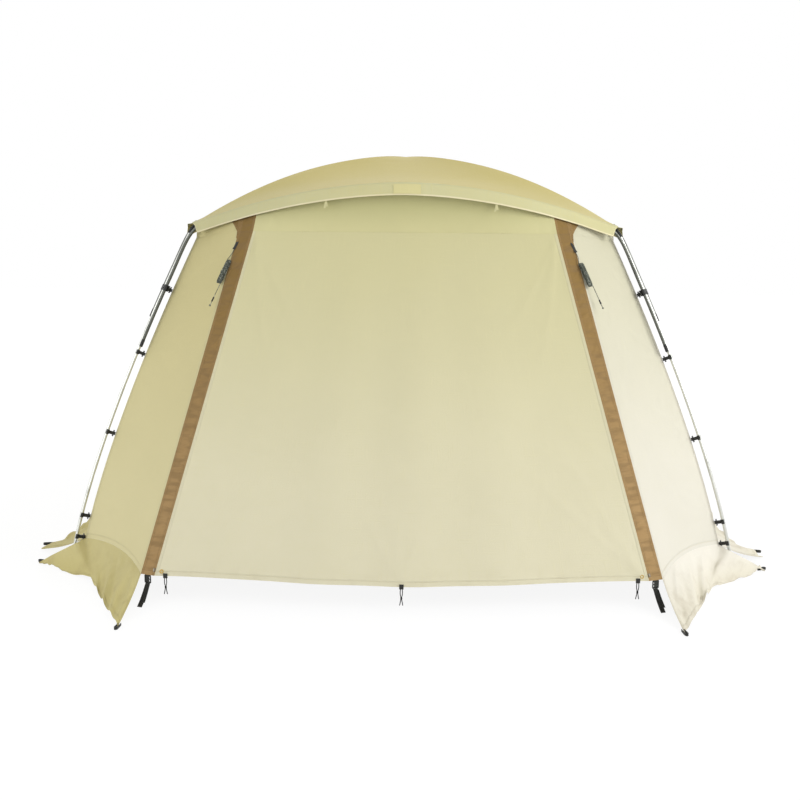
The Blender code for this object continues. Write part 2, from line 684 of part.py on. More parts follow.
def make_straps(rings, looks):
    for side, where in ((0, "front"), (1, "rear")):
        for end in (1, -1):
            hand = "right" if end == (1 if side == 0 else -1) else "left"
            top, axes = buckle_frame(rings, side, end)
            across, level, _ = axes
            width, thick, height = BUCKLE_SIZE
            plate = box_mesh(BUCKLE_SIZE, axes, top - (0, 0, height / 2))
            buckle = mesh_object(f"{where}_{hand}_buckle", *plate, looks["black"], smooth=False)
            slot = (width - 2 * BUCKLE_BAR, 3 * thick, (height - 3 * BUCKLE_BAR) / 2)
            for row in (0, 1):
                drop = BUCKLE_BAR + slot[2] / 2 + row * (slot[2] + BUCKLE_BAR)
                opening = box_mesh(slot, axes, top - (0, 0, drop))
                cutter = mesh_object(buckle.name + "_slot", *opening, looks["black"], smooth=False)
                boolean(buckle, cutter, "DIFFERENCE")
            set_origin(buckle, top - (0, 0, thick / 2))
            start = top - (0, 0, height + GAP)
            stop = np.array((*(start + level * STRAP_RUN)[:2], 0.0))
            shares = np.linspace(0, 1, STRAP_STEPS + 1)
            line = np.array([between(start, stop, t) for t in shares])
            line[:, 2] = np.maximum(line[:, 2] - STRAP_SAG * np.sin(math.pi * shares), 0)
            middle = np.array([[p + across * w * STRAP_WIDTH / 2 for w in (-1, 1)] for p in line])
            half = level * STRAP_THICKNESS / 2
            slab(f"{where}_{hand}_strap", middle + half, middle - half, looks["black"])
            make_slider(rings, side, end, f"{where}_{hand}_zip_slider", looks["metal"])


def slider_frame(rings, side, end):
    """A zip slider's middle, on the strip beside the door's seam, with directions across, out and up."""
    seam = side * HALF_RING + (DOOR_END if end == 1 else DOOR_START)
    low, high = rings[0][seam], rings[-1][seam]
    up = unit(high - low)
    across = strip_frame(rings, side, end, 0)[2]
    away = unit(across - up * (across @ up)) * end
    out = np.cross(away, up) * end
    centre = low + up * SLIDER_LIFT + out * (GAP + SLIDER_SIZE[1] / 2)
    return centre + away * (SLIDER_ASIDE + SLIDER_SIZE[0] / 2), (away, out, up)


def make_slider(rings, side, end, name, look):
    centre, axes = slider_frame(rings, side, end)
    body = mesh_object(name, *box_mesh(SLIDER_SIZE, axes, centre), look, smooth=False)
    soft = body.modifiers.new("edges", "BEVEL")
    soft.width = SLIDER_SIZE[1] / 4
    soft.segments = 2
    set_origin(body, centre)


def hank_line(top, across, out, down):
    """A guy line from its fixed end: a lead, standing loops drawn in at their waist, and a straight tail."""
    middle = top + down * (GUY_LEAD + HANK_HALF_HEIGHT)
    hank = []
    for i in range(HANK_LOOPS * HANK_POINTS + HANK_POINTS // 2 + 1):
        a = math.pi / 2 + 2 * math.pi * i / HANK_POINTS
        waist = HANK_WAIST_SHARE + (1 - HANK_WAIST_SHARE) * math.sin(a) ** 2
        sideways = (i / HANK_POINTS - HANK_LOOPS / 2) * HANK_PITCH
        loop = out * HANK_HALF_DEPTH * math.cos(a) * waist - down * HANK_HALF_HEIGHT * math.sin(a)
        hank.append(middle + across * sideways + loop)
    lead = [top, top + down * GUY_LEAD / 2 + out * GUY_RADIUS, hank[0]]
    end = hank[-1] + down * GUY_TAIL
    step = 6 * GUY_RADIUS
    return [*smooth_line(lead, step)[:-1], *hank, *straight(hank[-1], end, step)[1:]], hank, hank[-1]


def straight(start, end, step):
    count = max(1, round(np.linalg.norm(end - start) / step))
    return [between(start, end, t) for t in np.linspace(0, 1, count + 1)]


def self_gap(line, radius):
    """The least gap between a tube and itself, over points too far apart along it to be neighbours."""
    points = np.array(smooth_line(line, radius))
    later = range(NEIGHBOUR_POINTS, len(points))
    least = min(np.linalg.norm(points[i:] - points[i - NEIGHBOUR_POINTS], axis=1).min() for i in later)
    return least - 2 * radius


def guy_frame(rings, end):
    """Where a guy line starts on its strip, with directions across, out and down."""
    point, out, across, up = strip_frame(rings, 0, end, GUY_SHARE)
    point = point + across * end * GUY_ASIDE
    down = unit(-up + out * GUY_SLOPE_SHARE + across * end * GUY_LEAN_SHARE)
    across = unit(across - down * (across @ down))
    return point + out * (GUY_RADIUS + GAP), (across, np.cross(down, across), down)


def make_guy_lines(rings, looks):
    for end, hand in ((1, "right"), (-1, "left")):
        top, (across, out, down) = guy_frame(rings, end)
        line, hank, low = hank_line(top, across, out, down)
        tube(f"front_{hand}_guy_line", line, GUY_RADIUS, looks["cord"], resolution=1)
        length = np.linalg.norm(np.diff(np.array(line), axis=0), axis=1).sum()
        gap = self_gap(hank, GUY_RADIUS) / MM
        print(f"front_{hand}_guy_line: {length:.3f} m, least gap to itself {gap:.2f} mm")
        centre, drop = low + down * RUNNER_DROP, down * RUNNER_SIZE[2]
        runner_mesh = box_mesh(RUNNER_SIZE, (across, out, -down), centre)
        runner = mesh_object(f"front_{hand}_guy_runner", *runner_mesh, looks["black"], smooth=False)
        hole = rod(runner.name + "_hole", [centre - drop, centre + drop], GUY_RADIUS + GAP, looks["black"])
        boolean(runner, hole, "DIFFERENCE")
        set_origin(runner, centre)


def make_door_loops(look):
    """Elastic cords that hang doubled from the front door's hem and are knotted together."""
    for across, hand in zip(LOOP_SHARES, ("left", "middle", "right")):
        x, y, z = door_point(across, 0)
        top = np.array((x, y + CLOTH / 2, z - GAP - LOOP_RADIUS))
        half = np.array((LOOP_HALF_WIDTH, 0, 0))
        drop = np.array((0, 0, LOOP_DROP))
        knot = np.array((LOOP_RADIUS + GAP, 0, -LOOP_KNOT))
        bulges = [half * width - drop * depth for width, depth in LOOP_BULGE_SHARES]
        side = [half * (0, 1, 1), *bulges, knot, half * LOOP_END_SHARE - drop]
        right = [top + p for p in side]
        left = [top + p * (-1, 1, 1) for p in reversed(side[1:])]
        line = smooth_line([*left, *right], 3 * LOOP_RADIUS)
        tube(f"door_{hand}_loop", line, LOOP_RADIUS, look, resolution=1)


def build():
    clear_scene()
    looks = {
        "roof": material("khaki cloth", (0.52, 0.44, 0.24), 0.75),
        "wall": material("cream cloth", (0.66, 0.60, 0.42), 0.8),
        "strip": material("brown cloth", (0.30, 0.19, 0.08), 0.8),
        "skirt": material("sand cloth", (0.60, 0.52, 0.33), 0.8),
        "black": material("black plastic", (0.015, 0.016, 0.014), 0.45),
        "steel": material("steel tube", (0.70, 0.71, 0.72), 0.3, 0.9),
        "metal": material("zip metal", (0.25, 0.25, 0.24), 0.35, 0.9),
        "cord": material("grey cord", (0.30, 0.32, 0.27), 0.7),
    }
    make_legs(looks["steel"], looks["black"])
    make_roof_poles(looks["steel"], looks["black"])
    make_eave_poles(looks["steel"])
    rings, outs = make_walls(looks)
    make_roof(looks["roof"])
    make_skirts(rings, outs, looks["skirt"])
    make_straps(rings, looks)
    make_guy_lines(rings, looks)
    make_door_loops(looks["black"])


build()
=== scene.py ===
"""The looks of a dome party tent: its cloth, poles, clips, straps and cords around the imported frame.

The front faces -Y and the ground is z = 0. All lengths are metres.
"""

import math

import bmesh
import bpy
import numpy as np
from mathutils import Matrix, Vector


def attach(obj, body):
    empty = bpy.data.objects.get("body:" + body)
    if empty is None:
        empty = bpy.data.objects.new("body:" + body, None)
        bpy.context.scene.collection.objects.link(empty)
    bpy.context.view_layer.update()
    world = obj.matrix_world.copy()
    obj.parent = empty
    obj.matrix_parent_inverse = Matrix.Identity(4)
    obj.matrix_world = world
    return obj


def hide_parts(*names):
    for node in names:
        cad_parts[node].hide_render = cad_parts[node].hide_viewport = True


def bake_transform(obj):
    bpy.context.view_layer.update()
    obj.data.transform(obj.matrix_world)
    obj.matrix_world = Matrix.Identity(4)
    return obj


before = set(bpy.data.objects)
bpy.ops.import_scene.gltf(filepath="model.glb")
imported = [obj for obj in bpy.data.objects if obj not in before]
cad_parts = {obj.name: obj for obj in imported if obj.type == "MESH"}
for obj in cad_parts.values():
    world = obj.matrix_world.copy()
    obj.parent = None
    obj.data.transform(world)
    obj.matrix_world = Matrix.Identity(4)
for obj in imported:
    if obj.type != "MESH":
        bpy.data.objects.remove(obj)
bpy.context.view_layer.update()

MM = 0.001
GAP = 0.3 * MM

# Frame, as in the solids
APEX_HEIGHT = 2.124
SHOULDER_HEIGHT = 1.700
SHOULDER_REACH = 1.070
FOOT_REACH = (1.650, 1.370)
LEG_BOW_SHARE = 1.32
POLE_RADIUS = 8 * MM
EAVE_REACH = 0.300
EAVE_RISE = 0.197
BOW_SHARE = 2.6
ARCH_SHARE = 1.8
SIDE_EAVE_REACH = 0.030
SIDE_EAVE_RISE = 0.060
TAIL_SPACING = 22 * MM
FRONT_TAIL_SHARE = 0.653
SIDE_TAIL_SHARE = 0.738
ELBOW_LENGTH = 48 * MM
ELBOW_RADIUS = 10.5 * MM
CROSSING_WIDTH = 0.260
FOOT_HEIGHT = 42 * MM
FOOT_RADIUS = 17 * MM
WIDE_CLIP_SHARE = 0.824
WIDE_CLIP_SIZE = (76 * MM, 7 * MM, 30 * MM)
CLIP_SHARES = (0.638, 0.407, 0.165)
CLIP_TALL = 32 * MM
CLIP_EASE = 0.8 * MM
CLIP_SEAT = 0.8 * MM

# Cloth, as in the solids
CLOTH = 3 * MM
CORNER_INSET = 46 * MM
HEM_HEIGHT = 0.130
CORNER_HEM_HEIGHT = 0.160
HINGE_HEIGHT = SHOULDER_HEIGHT - 20 * MM
CORNER_TOP_HEIGHT = SHOULDER_HEIGHT - 50 * MM
DOOR_HEM = (1.120, 1.800)
DOOR_TOP = (0.725, 1.320)
STRIP_HEM = (1.188, 1.775)
STRIP_TOP = (0.800, 1.280)
DOOR_SWELL = 70 * MM
DOOR_SAG = 14 * MM
DOOR_FOLDS = 5
FOLD_DEPTH = 5 * MM
SIDE_SWELL = 20 * MM
PANEL_HOLLOW = 26 * MM
BAND_DROP = 60 * MM
BAND_FLARE = 12 * MM
BAND_EASE = 2.5 * MM
BAND_TURN_SHARE = 0.5
ROOF_SAG = 28 * MM
HEADER_SEAT_SHARE = 1.05
ROOF_CLEARANCE_SHARE = 1.27
CORNER_PULL = 14 * MM
EAVE_LEAN_SHARE = 0.068
CORNER_POWER_SHARE = 8
PULL_POWER_SHARE = 6
BAND_END_SHARES = (0.945, 0.970)
POLE_BULGE = 11 * MM
BULGE_START_SHARE = 0.88
BAND_LEAST_SHARE = 0.02
SIDE_SKIRT_REACH = 1.920
SIDE_SKIRT_DRAW = 75 * MM
SIDE_SKIRT_SHARE = 0.79
SKIRT_SAG = 14 * MM
SKIRT_GROUND = (
    (1.205, 2.085),
    (1.320, 1.870),
    (1.435, 1.650),
    (1.500, 1.525),
    (1.590, 1.455),
    (1.700, 1.385),
    (1.836, 1.250),
)
SKIRT_FREE = (
    (0.028, 0.052, 0.150),
    (0.078, 0.058, 0.125),
    (0.170, 0.015, 0.072),
    (0.264, -0.056, 0.008),
)

# Straps, sliders and cords, as in the solids
BUCKLE_SIZE = (34 * MM, 4 * MM, 38 * MM)
BUCKLE_BAR = 5 * MM
BUCKLE_GAP = 0.9 * MM
STRAP_WIDTH = 25 * MM
STRAP_THICKNESS = 1.6 * MM
STRAP_RUN = 70 * MM
STRAP_SAG = 6 * MM
SLIDER_SIZE = (11 * MM, 5 * MM, 17 * MM)
SLIDER_LIFT = 25 * MM
SLIDER_ASIDE = 1.5 * MM
GUY_RADIUS = 1.6 * MM
HANK_LOOPS = 6
HANK_PITCH = 3.8 * MM
HANK_HALF_HEIGHT = 62 * MM
HANK_HALF_DEPTH = 9 * MM
HANK_WAIST_SHARE = 0.55
HANK_POINTS = 18
GUY_LEAD = 60 * MM
GUY_TAIL = 120 * MM
RUNNER_SIZE = (8 * MM, 8 * MM, 22 * MM)
RUNNER_DROP = 85 * MM
GUY_SHARE = 0.945
GUY_ASIDE = 37 * MM
GUY_SLOPE_SHARE = 0.10
GUY_LEAN_SHARE = 0.12
LOOP_RADIUS = 1.5 * MM
LOOP_HALF_WIDTH = 5 * MM
LOOP_DROP = 84 * MM
LOOP_KNOT = 52 * MM
LOOP_BULGE_SHARES = ((0.8, 0.12), (1.0, 0.35))
LOOP_END_SHARE = 1.4
LOOP_SHARES = (-0.955, 0.0, 0.955)

# What shows in the scene only: outlines and trim, with bare pairs in millimetres
SHOWN_CLOTH = 1.2 * MM
GUSSET_WIDTH = 70 * MM
GUSSET_LIFT = 1.6 * MM
SHOWN_LOOP_RADIUS = 2.0 * MM
SKIRT_CLIP_HEIGHT = 0.174
TUBE_SIDES = 20
ROD_SIDES = 18
ELBOW_SIDES = 24
FOOT_SIDES = 28
SWAGE = 0.7 * MM
SWAGE_LENGTH = 30 * MM
SECTION = 460 * MM
FOOT_RINGS = (  # shares of the foot cap's height and radius
    (0, 0.93),
    (0.05, 1),
    (0.2, 1),
    (0.55, 0.86),
    (0.6, 0.78),
    (0.68, 0.78),
    (0.74, 0.84),
    (0.97, 0.76),
    (1, 0.68),
)
ELBOW_COLLARS = (0.99, 0.99, 0.99, 0.9, 0.9, 0.88, 0.86, 0.86, 0.86, 0.88, 0.9, 0.9, 0.99, 0.99, 0.99)
BAR_LEANS = (-0.3 * MM, 0.3 * MM, -0.5 * MM)
THREADED_LINE = ((-1.6, 15), (3.4, 9), (3.6, 0), (3.4, -9), (-1.6, -15))
SLIDER_OUTLINE = (
    (-0.5, 0.5),
    (-0.44, -0.1),
    (-0.3, -0.5),
    (0.3, -0.5),
    (0.44, -0.1),
    (0.5, 0.5),
    (0.16, 0.42),
    (0, 0.2),
    (-0.16, 0.42),
)
PULL_OUTLINE = ((-2.2, 6), (2.2, 6), (3.0, -5), (2.0, -7), (-2.0, -7), (-3.0, -5))
RUNNER_RINGS = (  # shares of the runner's half length and radius
    (-1, 0.7),
    (-0.86, 0.95),
    (-0.7, 1),
    (-0.2, 0.86),
    (0.2, 0.86),
    (0.7, 1),
    (0.86, 0.95),
    (1, 0.7),
)
EYELET_RADIUS = 7.0 * MM
EYELET_STEPS = 24
LIP_STEPS = 8
LOOP_TAB_LINE = ((0, -1.5, -9), (0, -2.4, 0), (0, -2.4, 14))
GUY_TAB_LINE = ((-52, 0.6), (-30, 0.8), (-10, 1.0), (-2, 3.0), (3, 2.4))
PEG_LOOP_LINE = ((-24, 5), (0, 7), (22, 6.5), (28, 0), (22, -6.5), (0, -7), (-24, -5))
AHEAD_X = np.array((1.0, 0, 0))
TIE_SHARES = (-0.345, 0.398)  # of the front band's half length, from its middle
PATCH_SHARES = (-0.052, 0.068)
PATCH_LIFT = 0.8 * MM

# The rows and columns of the cloth
DOOR_COLUMNS = 132
PANEL_COLUMNS = 28
SIDE_COLUMNS = 110
WALL_ROWS = 90
HEADER_ROWS = 14
STRIP_COLUMNS = 14
STRIP_ROWS = 360
ROOF_COLUMNS = 26
FREE_COLUMNS = 24
ROOF_ROWS = 44
BAND_ROWS = 6
SKIRT_ROWS = 26

CORNERS = ("front_right", "rear_right", "rear_left", "front_left")
SIDES = ("front", "right", "rear", "left")
ENDS = ("front", "rear")
HALF_RING = 2 * (PANEL_COLUMNS + 1) + DOOR_COLUMNS + SIDE_COLUMNS
DOOR_START = PANEL_COLUMNS + 1
DOOR_END = DOOR_START + DOOR_COLUMNS
FRONT_END = DOOR_END + 1 + PANEL_COLUMNS

# The photograph's view: the camera's place, its lens, and its turn down, aside and rolled, in degrees
EYE = (0, -5.92, 1.60)
LENS = 42.75
SENSOR_WIDTH = 36
CAMERA_TURN = (9.0, -0.2, 0.55)


# The curves that the solids follow


def unit(vector):
    return vector / np.linalg.norm(vector)


def between(a, b, share):
    return np.asarray(a, float) * (1 - share) + np.asarray(b, float) * share


def totals(steps):
    """Running totals of some steps, from 0."""
    return np.concatenate([[0], np.cumsum(steps)])


def run_along(points):
    """How far along a line each of its points lies."""
    return totals(np.linalg.norm(np.diff(points, axis=0), axis=1))


def sampled(places, run, points):
    """Points at some places along a line whose own points lie at run."""
    return np.stack([np.interp(places, run, np.asarray(points)[:, k]) for k in range(3)], axis=1)


def smooth_line(points, step):
    """Points about one step apart on a smooth curve through the given ones."""
    points = np.asarray(points, float)
    padded = np.concatenate([[2 * points[0] - points[1]], points, [2 * points[-1] - points[-2]]])
    line = []
    for i in range(len(points) - 1):
        a, b, c, d = padded[i : i + 4]
        count = max(1, round(np.linalg.norm(c - b) / step))
        for t in np.arange(count) / count:
            turn = 2 * b + (c - a) * t + (2 * a - 5 * b + 4 * c - d) * t**2
            line.append((turn + (3 * b - a - 3 * c + d) * t**3) / 2)
    return [*line, points[-1]]


def leg_reach(height):
    """A leg's distance from the centre at a height, along X and along Y."""
    bow = (height / SHOULDER_HEIGHT) ** LEG_BOW_SHARE
    return np.array(FOOT_REACH) * (1 - bow) + SHOULDER_REACH * bow


def roof_height(reach):
    return APEX_HEIGHT - (APEX_HEIGHT - SHOULDER_HEIGHT) * (reach / SHOULDER_REACH) ** 2


def crossing_rise(reach):
    return (2 * POLE_RADIUS + 2 * GAP) * math.exp(-((reach / CROSSING_WIDTH) ** 2))


def eave_shape(across, side):
    """How far an eave lies out past the line between its shoulders, and above it."""
    if side % 2:
        return SIDE_EAVE_REACH * (1 - across**2), SIDE_EAVE_RISE * (1 - across**2)
    return EAVE_REACH * (1 - abs(across) ** BOW_SHARE), EAVE_RISE * (1 - abs(across) ** ARCH_SHARE)


def quarter_turned(point, side):
    x, y, z = point
    for _ in range(side):
        x, y = -y, x
    return np.array((x, y, z))


def eave(across, side):
    bow, arch = eave_shape(across, side)
    return quarter_turned((across * SHOULDER_REACH, -(SHOULDER_REACH + bow), SHOULDER_HEIGHT + arch), side)


def at_corner(x, y, z, corner):
    """A point given by its distances along X and Y, on the side of one of the corners."""
    right, rear = corner < 2, corner in (1, 2)
    return np.array((x if right else -x, y if rear else -y, z))


def corner_axes(corner):
    """The level way in which a leg leans outward, and the way sideways of it."""
    lean = leg_reach(0) - leg_reach(SHOULDER_HEIGHT)
    outward = unit(at_corner(*lean, 0, corner))
    return outward, np.array((-outward[1], outward[0], 0))


def leg_point(corner, height):
    return at_corner(*leg_reach(height), height, corner)


def clip_axes(corner, height):
    """The leg's axis at a height, with the directions sideways, in towards the cloth, and up the leg."""
    outward, sideways = corner_axes(corner)
    centre = leg_point(corner, height)
    along = unit(leg_point(corner, height + MM) - centre)
    inward = unit(np.cross(along, sideways))
    return centre, (sideways, inward if inward @ outward < 0 else -inward, along)


def corner_line(share):
    height = CORNER_HEM_HEIGHT + (CORNER_TOP_HEIGHT - CORNER_HEM_HEIGHT) * share
    return leg_point(0, height) - corner_axes(0)[0] * CORNER_INSET


def seam_line(hem, top, share):
    x, y = between(hem, top, share)
    return np.array((x, -y, HEM_HEIGHT + (HINGE_HEIGHT - HEM_HEIGHT) * share))


def door_point(across, share):
    x, y, z = seam_line(DOOR_HEM, DOOR_TOP, share)
    rest = 1 - share
    arch = (1 - across**2) ** 2
    folds = FOLD_DEPTH * math.sin(DOOR_FOLDS * math.pi * across + rest) * rest * (2 - rest)
    return np.array((x * across, y - (DOOR_SWELL * rest + folds) * arch, z - DOOR_SAG * arch * rest))


def panel_point(across, share):
    point = between(seam_line(STRIP_HEM, STRIP_TOP, share), corner_line(share), across)
    hollow = PANEL_HOLLOW * 4 * across * (1 - across) * (1 - share) ** 2
    return point + np.array((-hollow, hollow, hollow))


def side_point(across, share):
    x, y, height = corner_line(share)
    swell = SIDE_SWELL * (1 - across**2)
    return np.array((x + swell, -y * across, height - swell * (1 - share)))


def wall_ring(share):
    """One closed turn of the wall at a share of its height, starting at the front left corner."""
    front = [door_point(u, share) for u in np.linspace(-1, 1, DOOR_COLUMNS + 1)]
    panel = [panel_point(u, share) for u in np.linspace(0, 1, PANEL_COLUMNS + 1)]
    right = [side_point(u, share) for u in np.linspace(-1, 1, SIDE_COLUMNS + 1)][1:-1]
    half = [*(p * (-1, 1, 1) for p in reversed(panel)), *front, *panel, *right]
    return np.array([*half, *(p * (-1, -1, 1) for p in half)])


def outward_of(ring):
    """Level outward directions at each point of a closed ring, longer at its corners to mitre the seams."""
    ahead = np.roll(ring, -1, axis=0) - ring
    ahead = np.stack([ahead[:, 1], -ahead[:, 0], 0 * ahead[:, 0]], axis=1)
    ahead /= np.linalg.norm(ahead, axis=1)[:, None]
    middle = ahead + np.roll(ahead, 1, axis=0)
    return middle / (middle * ahead).sum(axis=1)[:, None]


def eave_ring(first):
    """The wall's top turn carried up to touch the eave poles from inside."""
    line, corner = [], []
    for point in first[:HALF_RING]:
        side = 0 if len(line) <= FRONT_END else 1
        u = point[side] / abs(corner_line(1)[side])
        lean = 0 if side else EAVE_LEAN_SHARE * (1 - u**2)
        line.append(eave(u * (1 - lean), side))
        corner.append(u**CORNER_POWER_SHARE)
    line = np.array([*line, *(p * (-1, -1, 1) for p in line)])
    outs = outward_of(line)
    level = outs / np.linalg.norm(outs, axis=1)[:, None]
    step = line - first
    back = (step * level).sum(axis=1)
    rise = step[:, 2]
    inward = (back[:, None] * (0, 0, 1) - rise[:, None] * level) / np.hypot(back, rise)[:, None]
    corner = np.array(corner * 2)[:, None]
    touch = line + inward * (HEADER_SEAT_SHARE * POLE_RADIUS + GAP)
    return touch - corner * (outs * CORNER_PULL + (0, 0, POLE_RADIUS))


rings = np.array([wall_ring(v) for v in np.linspace(0, 1, WALL_ROWS + 1)])
upper = np.array([between(rings[-1], eave_ring(rings[-1]), v) for v in np.linspace(0, 1, HEADER_ROWS + 1)])


def ring_place(side, end, right, left):
    """One of two places in the ring, for the right or the left end of the front or of the rear."""
    return side * HALF_RING + (right if end == 1 else left)


def strip_frame(side, end, share):
    """The middle of a corner strip's face at a share of its height, with directions out, across and up."""
    first = ring_place(side, end, DOOR_END, DOOR_START - 1)
    heights = np.linspace(0, 1, len(rings))
    edges = [sampled([share], heights, rings[:, i])[0] for i in (first, first + 1)]
    middles = rings[:, [first, first + 1]].mean(axis=1)
    up = unit(middles[-1] - middles[0])
    across = unit(np.subtract(*reversed(edges)))
    return between(*edges, 0.5), unit(np.cross(across, up)), across, up


def each_strip():
    """Side, end and name of each corner strip; end 1 is the right of someone who faces the door."""
    for side, where in enumerate(ENDS):
        for end in (1, -1):
            hand = "left" if (end == 1) == bool(side) else "right"
            yield side, end, f"{where}_{hand}"


def buckle_frame(side, end):
    """The middle of a buckle's top edge under its strip, with directions across, out and up."""
    point, out, across, _ = strip_frame(side, end, 0)
    level = unit(np.array((out[0], out[1], 0)))
    return point - level * CLOTH / 2 - (0, 0, BUCKLE_GAP), (across, level, np.array((0, 0, 1)))


def slider_frame(side, end):
    """A zip slider's middle beside the door's seam, with directions away from the seam, out and up it."""
    seam = ring_place(side, end, DOOR_END, DOOR_START)
    low, high = rings[0][seam], rings[-1][seam]
    up = unit(high - low)
    across = strip_frame(side, end, 0)[2]
    away = unit(across - up * (across @ up)) * end
    out = np.cross(away, up) * end
    aside = away * (SLIDER_ASIDE + SLIDER_SIZE[0] / 2)
    return low + up * SLIDER_LIFT + out * (GAP + SLIDER_SIZE[1] / 2) + aside, (away, out, up)


# Camera and cords


def placed(name, data):
    """A new object in the scene for some data."""
    made = bpy.data.objects.new(name, data)
    bpy.context.scene.collection.objects.link(made)
    return made


def place_camera():
    """The photograph's view: from eye height, tipped down a little and very slightly rolled."""
    pitch, yaw, roll = map(math.radians, CAMERA_TURN)
    ahead = np.array((math.sin(yaw) * math.cos(pitch), math.cos(yaw) * math.cos(pitch), -math.sin(pitch)))
    level = np.array((math.cos(yaw), -math.sin(yaw), 0))
    above = np.cross(level, ahead)
    right = math.cos(roll) * level + math.sin(roll) * above
    up = math.cos(roll) * above - math.sin(roll) * level
    lens = bpy.data.cameras.new("camera")
    lens.sensor_width = SENSOR_WIDTH
    lens.lens = LENS
    lens.clip_end = 60
    eye = placed("camera", lens)
    turn = Matrix((right, up, -ahead)).transposed().to_4x4()
    eye.matrix_world = Matrix.Translation(EYE) @ turn
    bpy.context.scene.camera = eye


def cord_curve(name, points, radius):
    data = bpy.data.curves.new(name, "CURVE")
    data.dimensions = "3D"
    data.bevel_depth = radius
    data.bevel_resolution = 4
    data.use_fill_caps = True
    line = data.splines.new("POLY")
    line.points.add(len(points) - 1)
    for place, point in zip(line.points, points):
        place.co = (*map(float, point), 1.0)
    return placed(name, data)


def guy_frame(end):
    """Where a guy line starts on its strip, with directions across, out and down."""
    point, out, across, up = strip_frame(0, end, GUY_SHARE)
    point = point + across * end * GUY_ASIDE
    down = unit(-up + out * GUY_SLOPE_SHARE + across * end * GUY_LEAN_SHARE)
    across = unit(across - down * (across @ down))
    return point + out * (GUY_RADIUS + GAP), (across, np.cross(down, across), down)


def hank_line(top, across, out, down):
    """A guy line from its fixed end: a lead, standing loops with a waist, and a straight tail."""
    middle = top + down * (GUY_LEAD + HANK_HALF_HEIGHT)
    hank = []
    for i in range(HANK_LOOPS * HANK_POINTS + HANK_POINTS // 2 + 1):
        a = math.pi / 2 + 2 * math.pi * i / HANK_POINTS
        waist = HANK_WAIST_SHARE + (1 - HANK_WAIST_SHARE) * math.sin(a) ** 2
        sideways = (i / HANK_POINTS - HANK_LOOPS / 2) * HANK_PITCH
        deep = out * HANK_HALF_DEPTH * math.cos(a) * waist
        hank.append(middle + across * sideways - down * HANK_HALF_HEIGHT * math.sin(a) + deep)
    lead = [top, top + down * GUY_LEAD / 2 + out * GUY_RADIUS, hank[0]]
    return [*smooth_line(lead, 6 * GUY_RADIUS)[:-1], *hank, hank[-1] + down * GUY_TAIL], middle, hank[-1]


def loop_lines(across):
    """An elastic loop's line from side to side under the door's hem, and the middle of its knot."""
    x, y, z = door_point(across, 0)
    top = np.array((x, y + CLOTH / 2, z - GAP - LOOP_RADIUS))
    half = np.array((LOOP_HALF_WIDTH, 0, 0))
    drop = np.array((0, 0, LOOP_DROP))
    knot = np.array((LOOP_RADIUS + GAP, 0, -LOOP_KNOT))
    bulge = [half * width - drop * depth for width, depth in LOOP_BULGE_SHARES]
    side = [half * 0, *bulge, knot, half * LOOP_END_SHARE - drop]
    right = [top + p for p in side]
    left = [top + p * (-1, 1, 1) for p in reversed(side[1:])]
    return smooth_line([*left, *right], 2 * LOOP_RADIUS), top, top + knot * (0, 1, 1)


place_camera()
guys = {}
for end, hand in ((1, "right"), (-1, "left")):
    top, axes = guy_frame(end)
    line, middle, low = hank_line(top, *axes)
    piece = cord_curve(f"guy_line_{hand}", line, GUY_RADIUS)
    guys[hand] = {"piece": piece, "line": line, "top": top, "middle": middle, "low": low, "axes": axes}
loops = {}
for across, hand in zip(LOOP_SHARES, ("left", "middle", "right")):
    line, top, knot = loop_lines(across)
    piece = cord_curve(f"door_loop_{hand}", line, SHOWN_LOOP_RADIUS)
    loops[hand] = {"piece": piece, "line": line, "top": top, "knot": knot}


# Looks

WEAVE = 0.9 * MM
STITCH = 4 * MM
STITCH_SHARE = 0.72
SEAM = 14 * MM
HEM = 24 * MM
BAND_RAMPS = ((62 * MM, 84 * MM), (6 * MM, 8 * MM))  # where the roof's band and its hem tape end
CLOTH_ROUGHNESS = 0.82
SHARP_ANGLE = 35


def tone(red, green, blue):
    """A colour given as it shows, 0 to 255, in the linear numbers that shaders take."""
    shares = [c / 255 for c in (red, green, blue)]
    return tuple(s / 12.92 if s <= 0.04045 else ((s + 0.055) / 1.055) ** 2.4 for s in shares)


def shaded(colour, share):
    return [min(1, c * share) for c in colour]


def operator(operation):
    def method(self, *others):
        return self.math(operation, *others)

    return method


class Wire:
    """A node's output, with arithmetic that adds Math nodes."""

    __add__ = __radd__ = operator("ADD")
    __mul__ = __rmul__ = operator("MULTIPLY")
    __sub__ = operator("SUBTRACT")
    __truediv__ = operator("DIVIDE")
    __lt__ = operator("LESS_THAN")
    __abs__ = operator("ABSOLUTE")

    def __init__(self, look, socket):
        self.look = look
        self.socket = socket

    def math(self, operation, *others):
        return self.look.node("Math", {"operation": operation}, dict(enumerate((self, *others))))

    def __rsub__(self, other):
        return self.look.node("Math", {"operation": "SUBTRACT"}, {0: other, 1: self})

    def sine(self, period):
        return (self * (2 * math.pi / period)).math("SINE")

    def fraction(self, period):
        return (self / period).math("FRACT")

    def ramp(self, low, high):
        """0 below one value and 1 above the other, eased between."""
        names = {"Value": self, "From Min": low, "From Max": high}
        return self.look.node("MapRange", {"interpolation_type": "SMOOTHSTEP"}, names)

    def part(self, axis):
        return self.look.node("SeparateXYZ", {}, {0: self}, out="XYZ".index(axis))


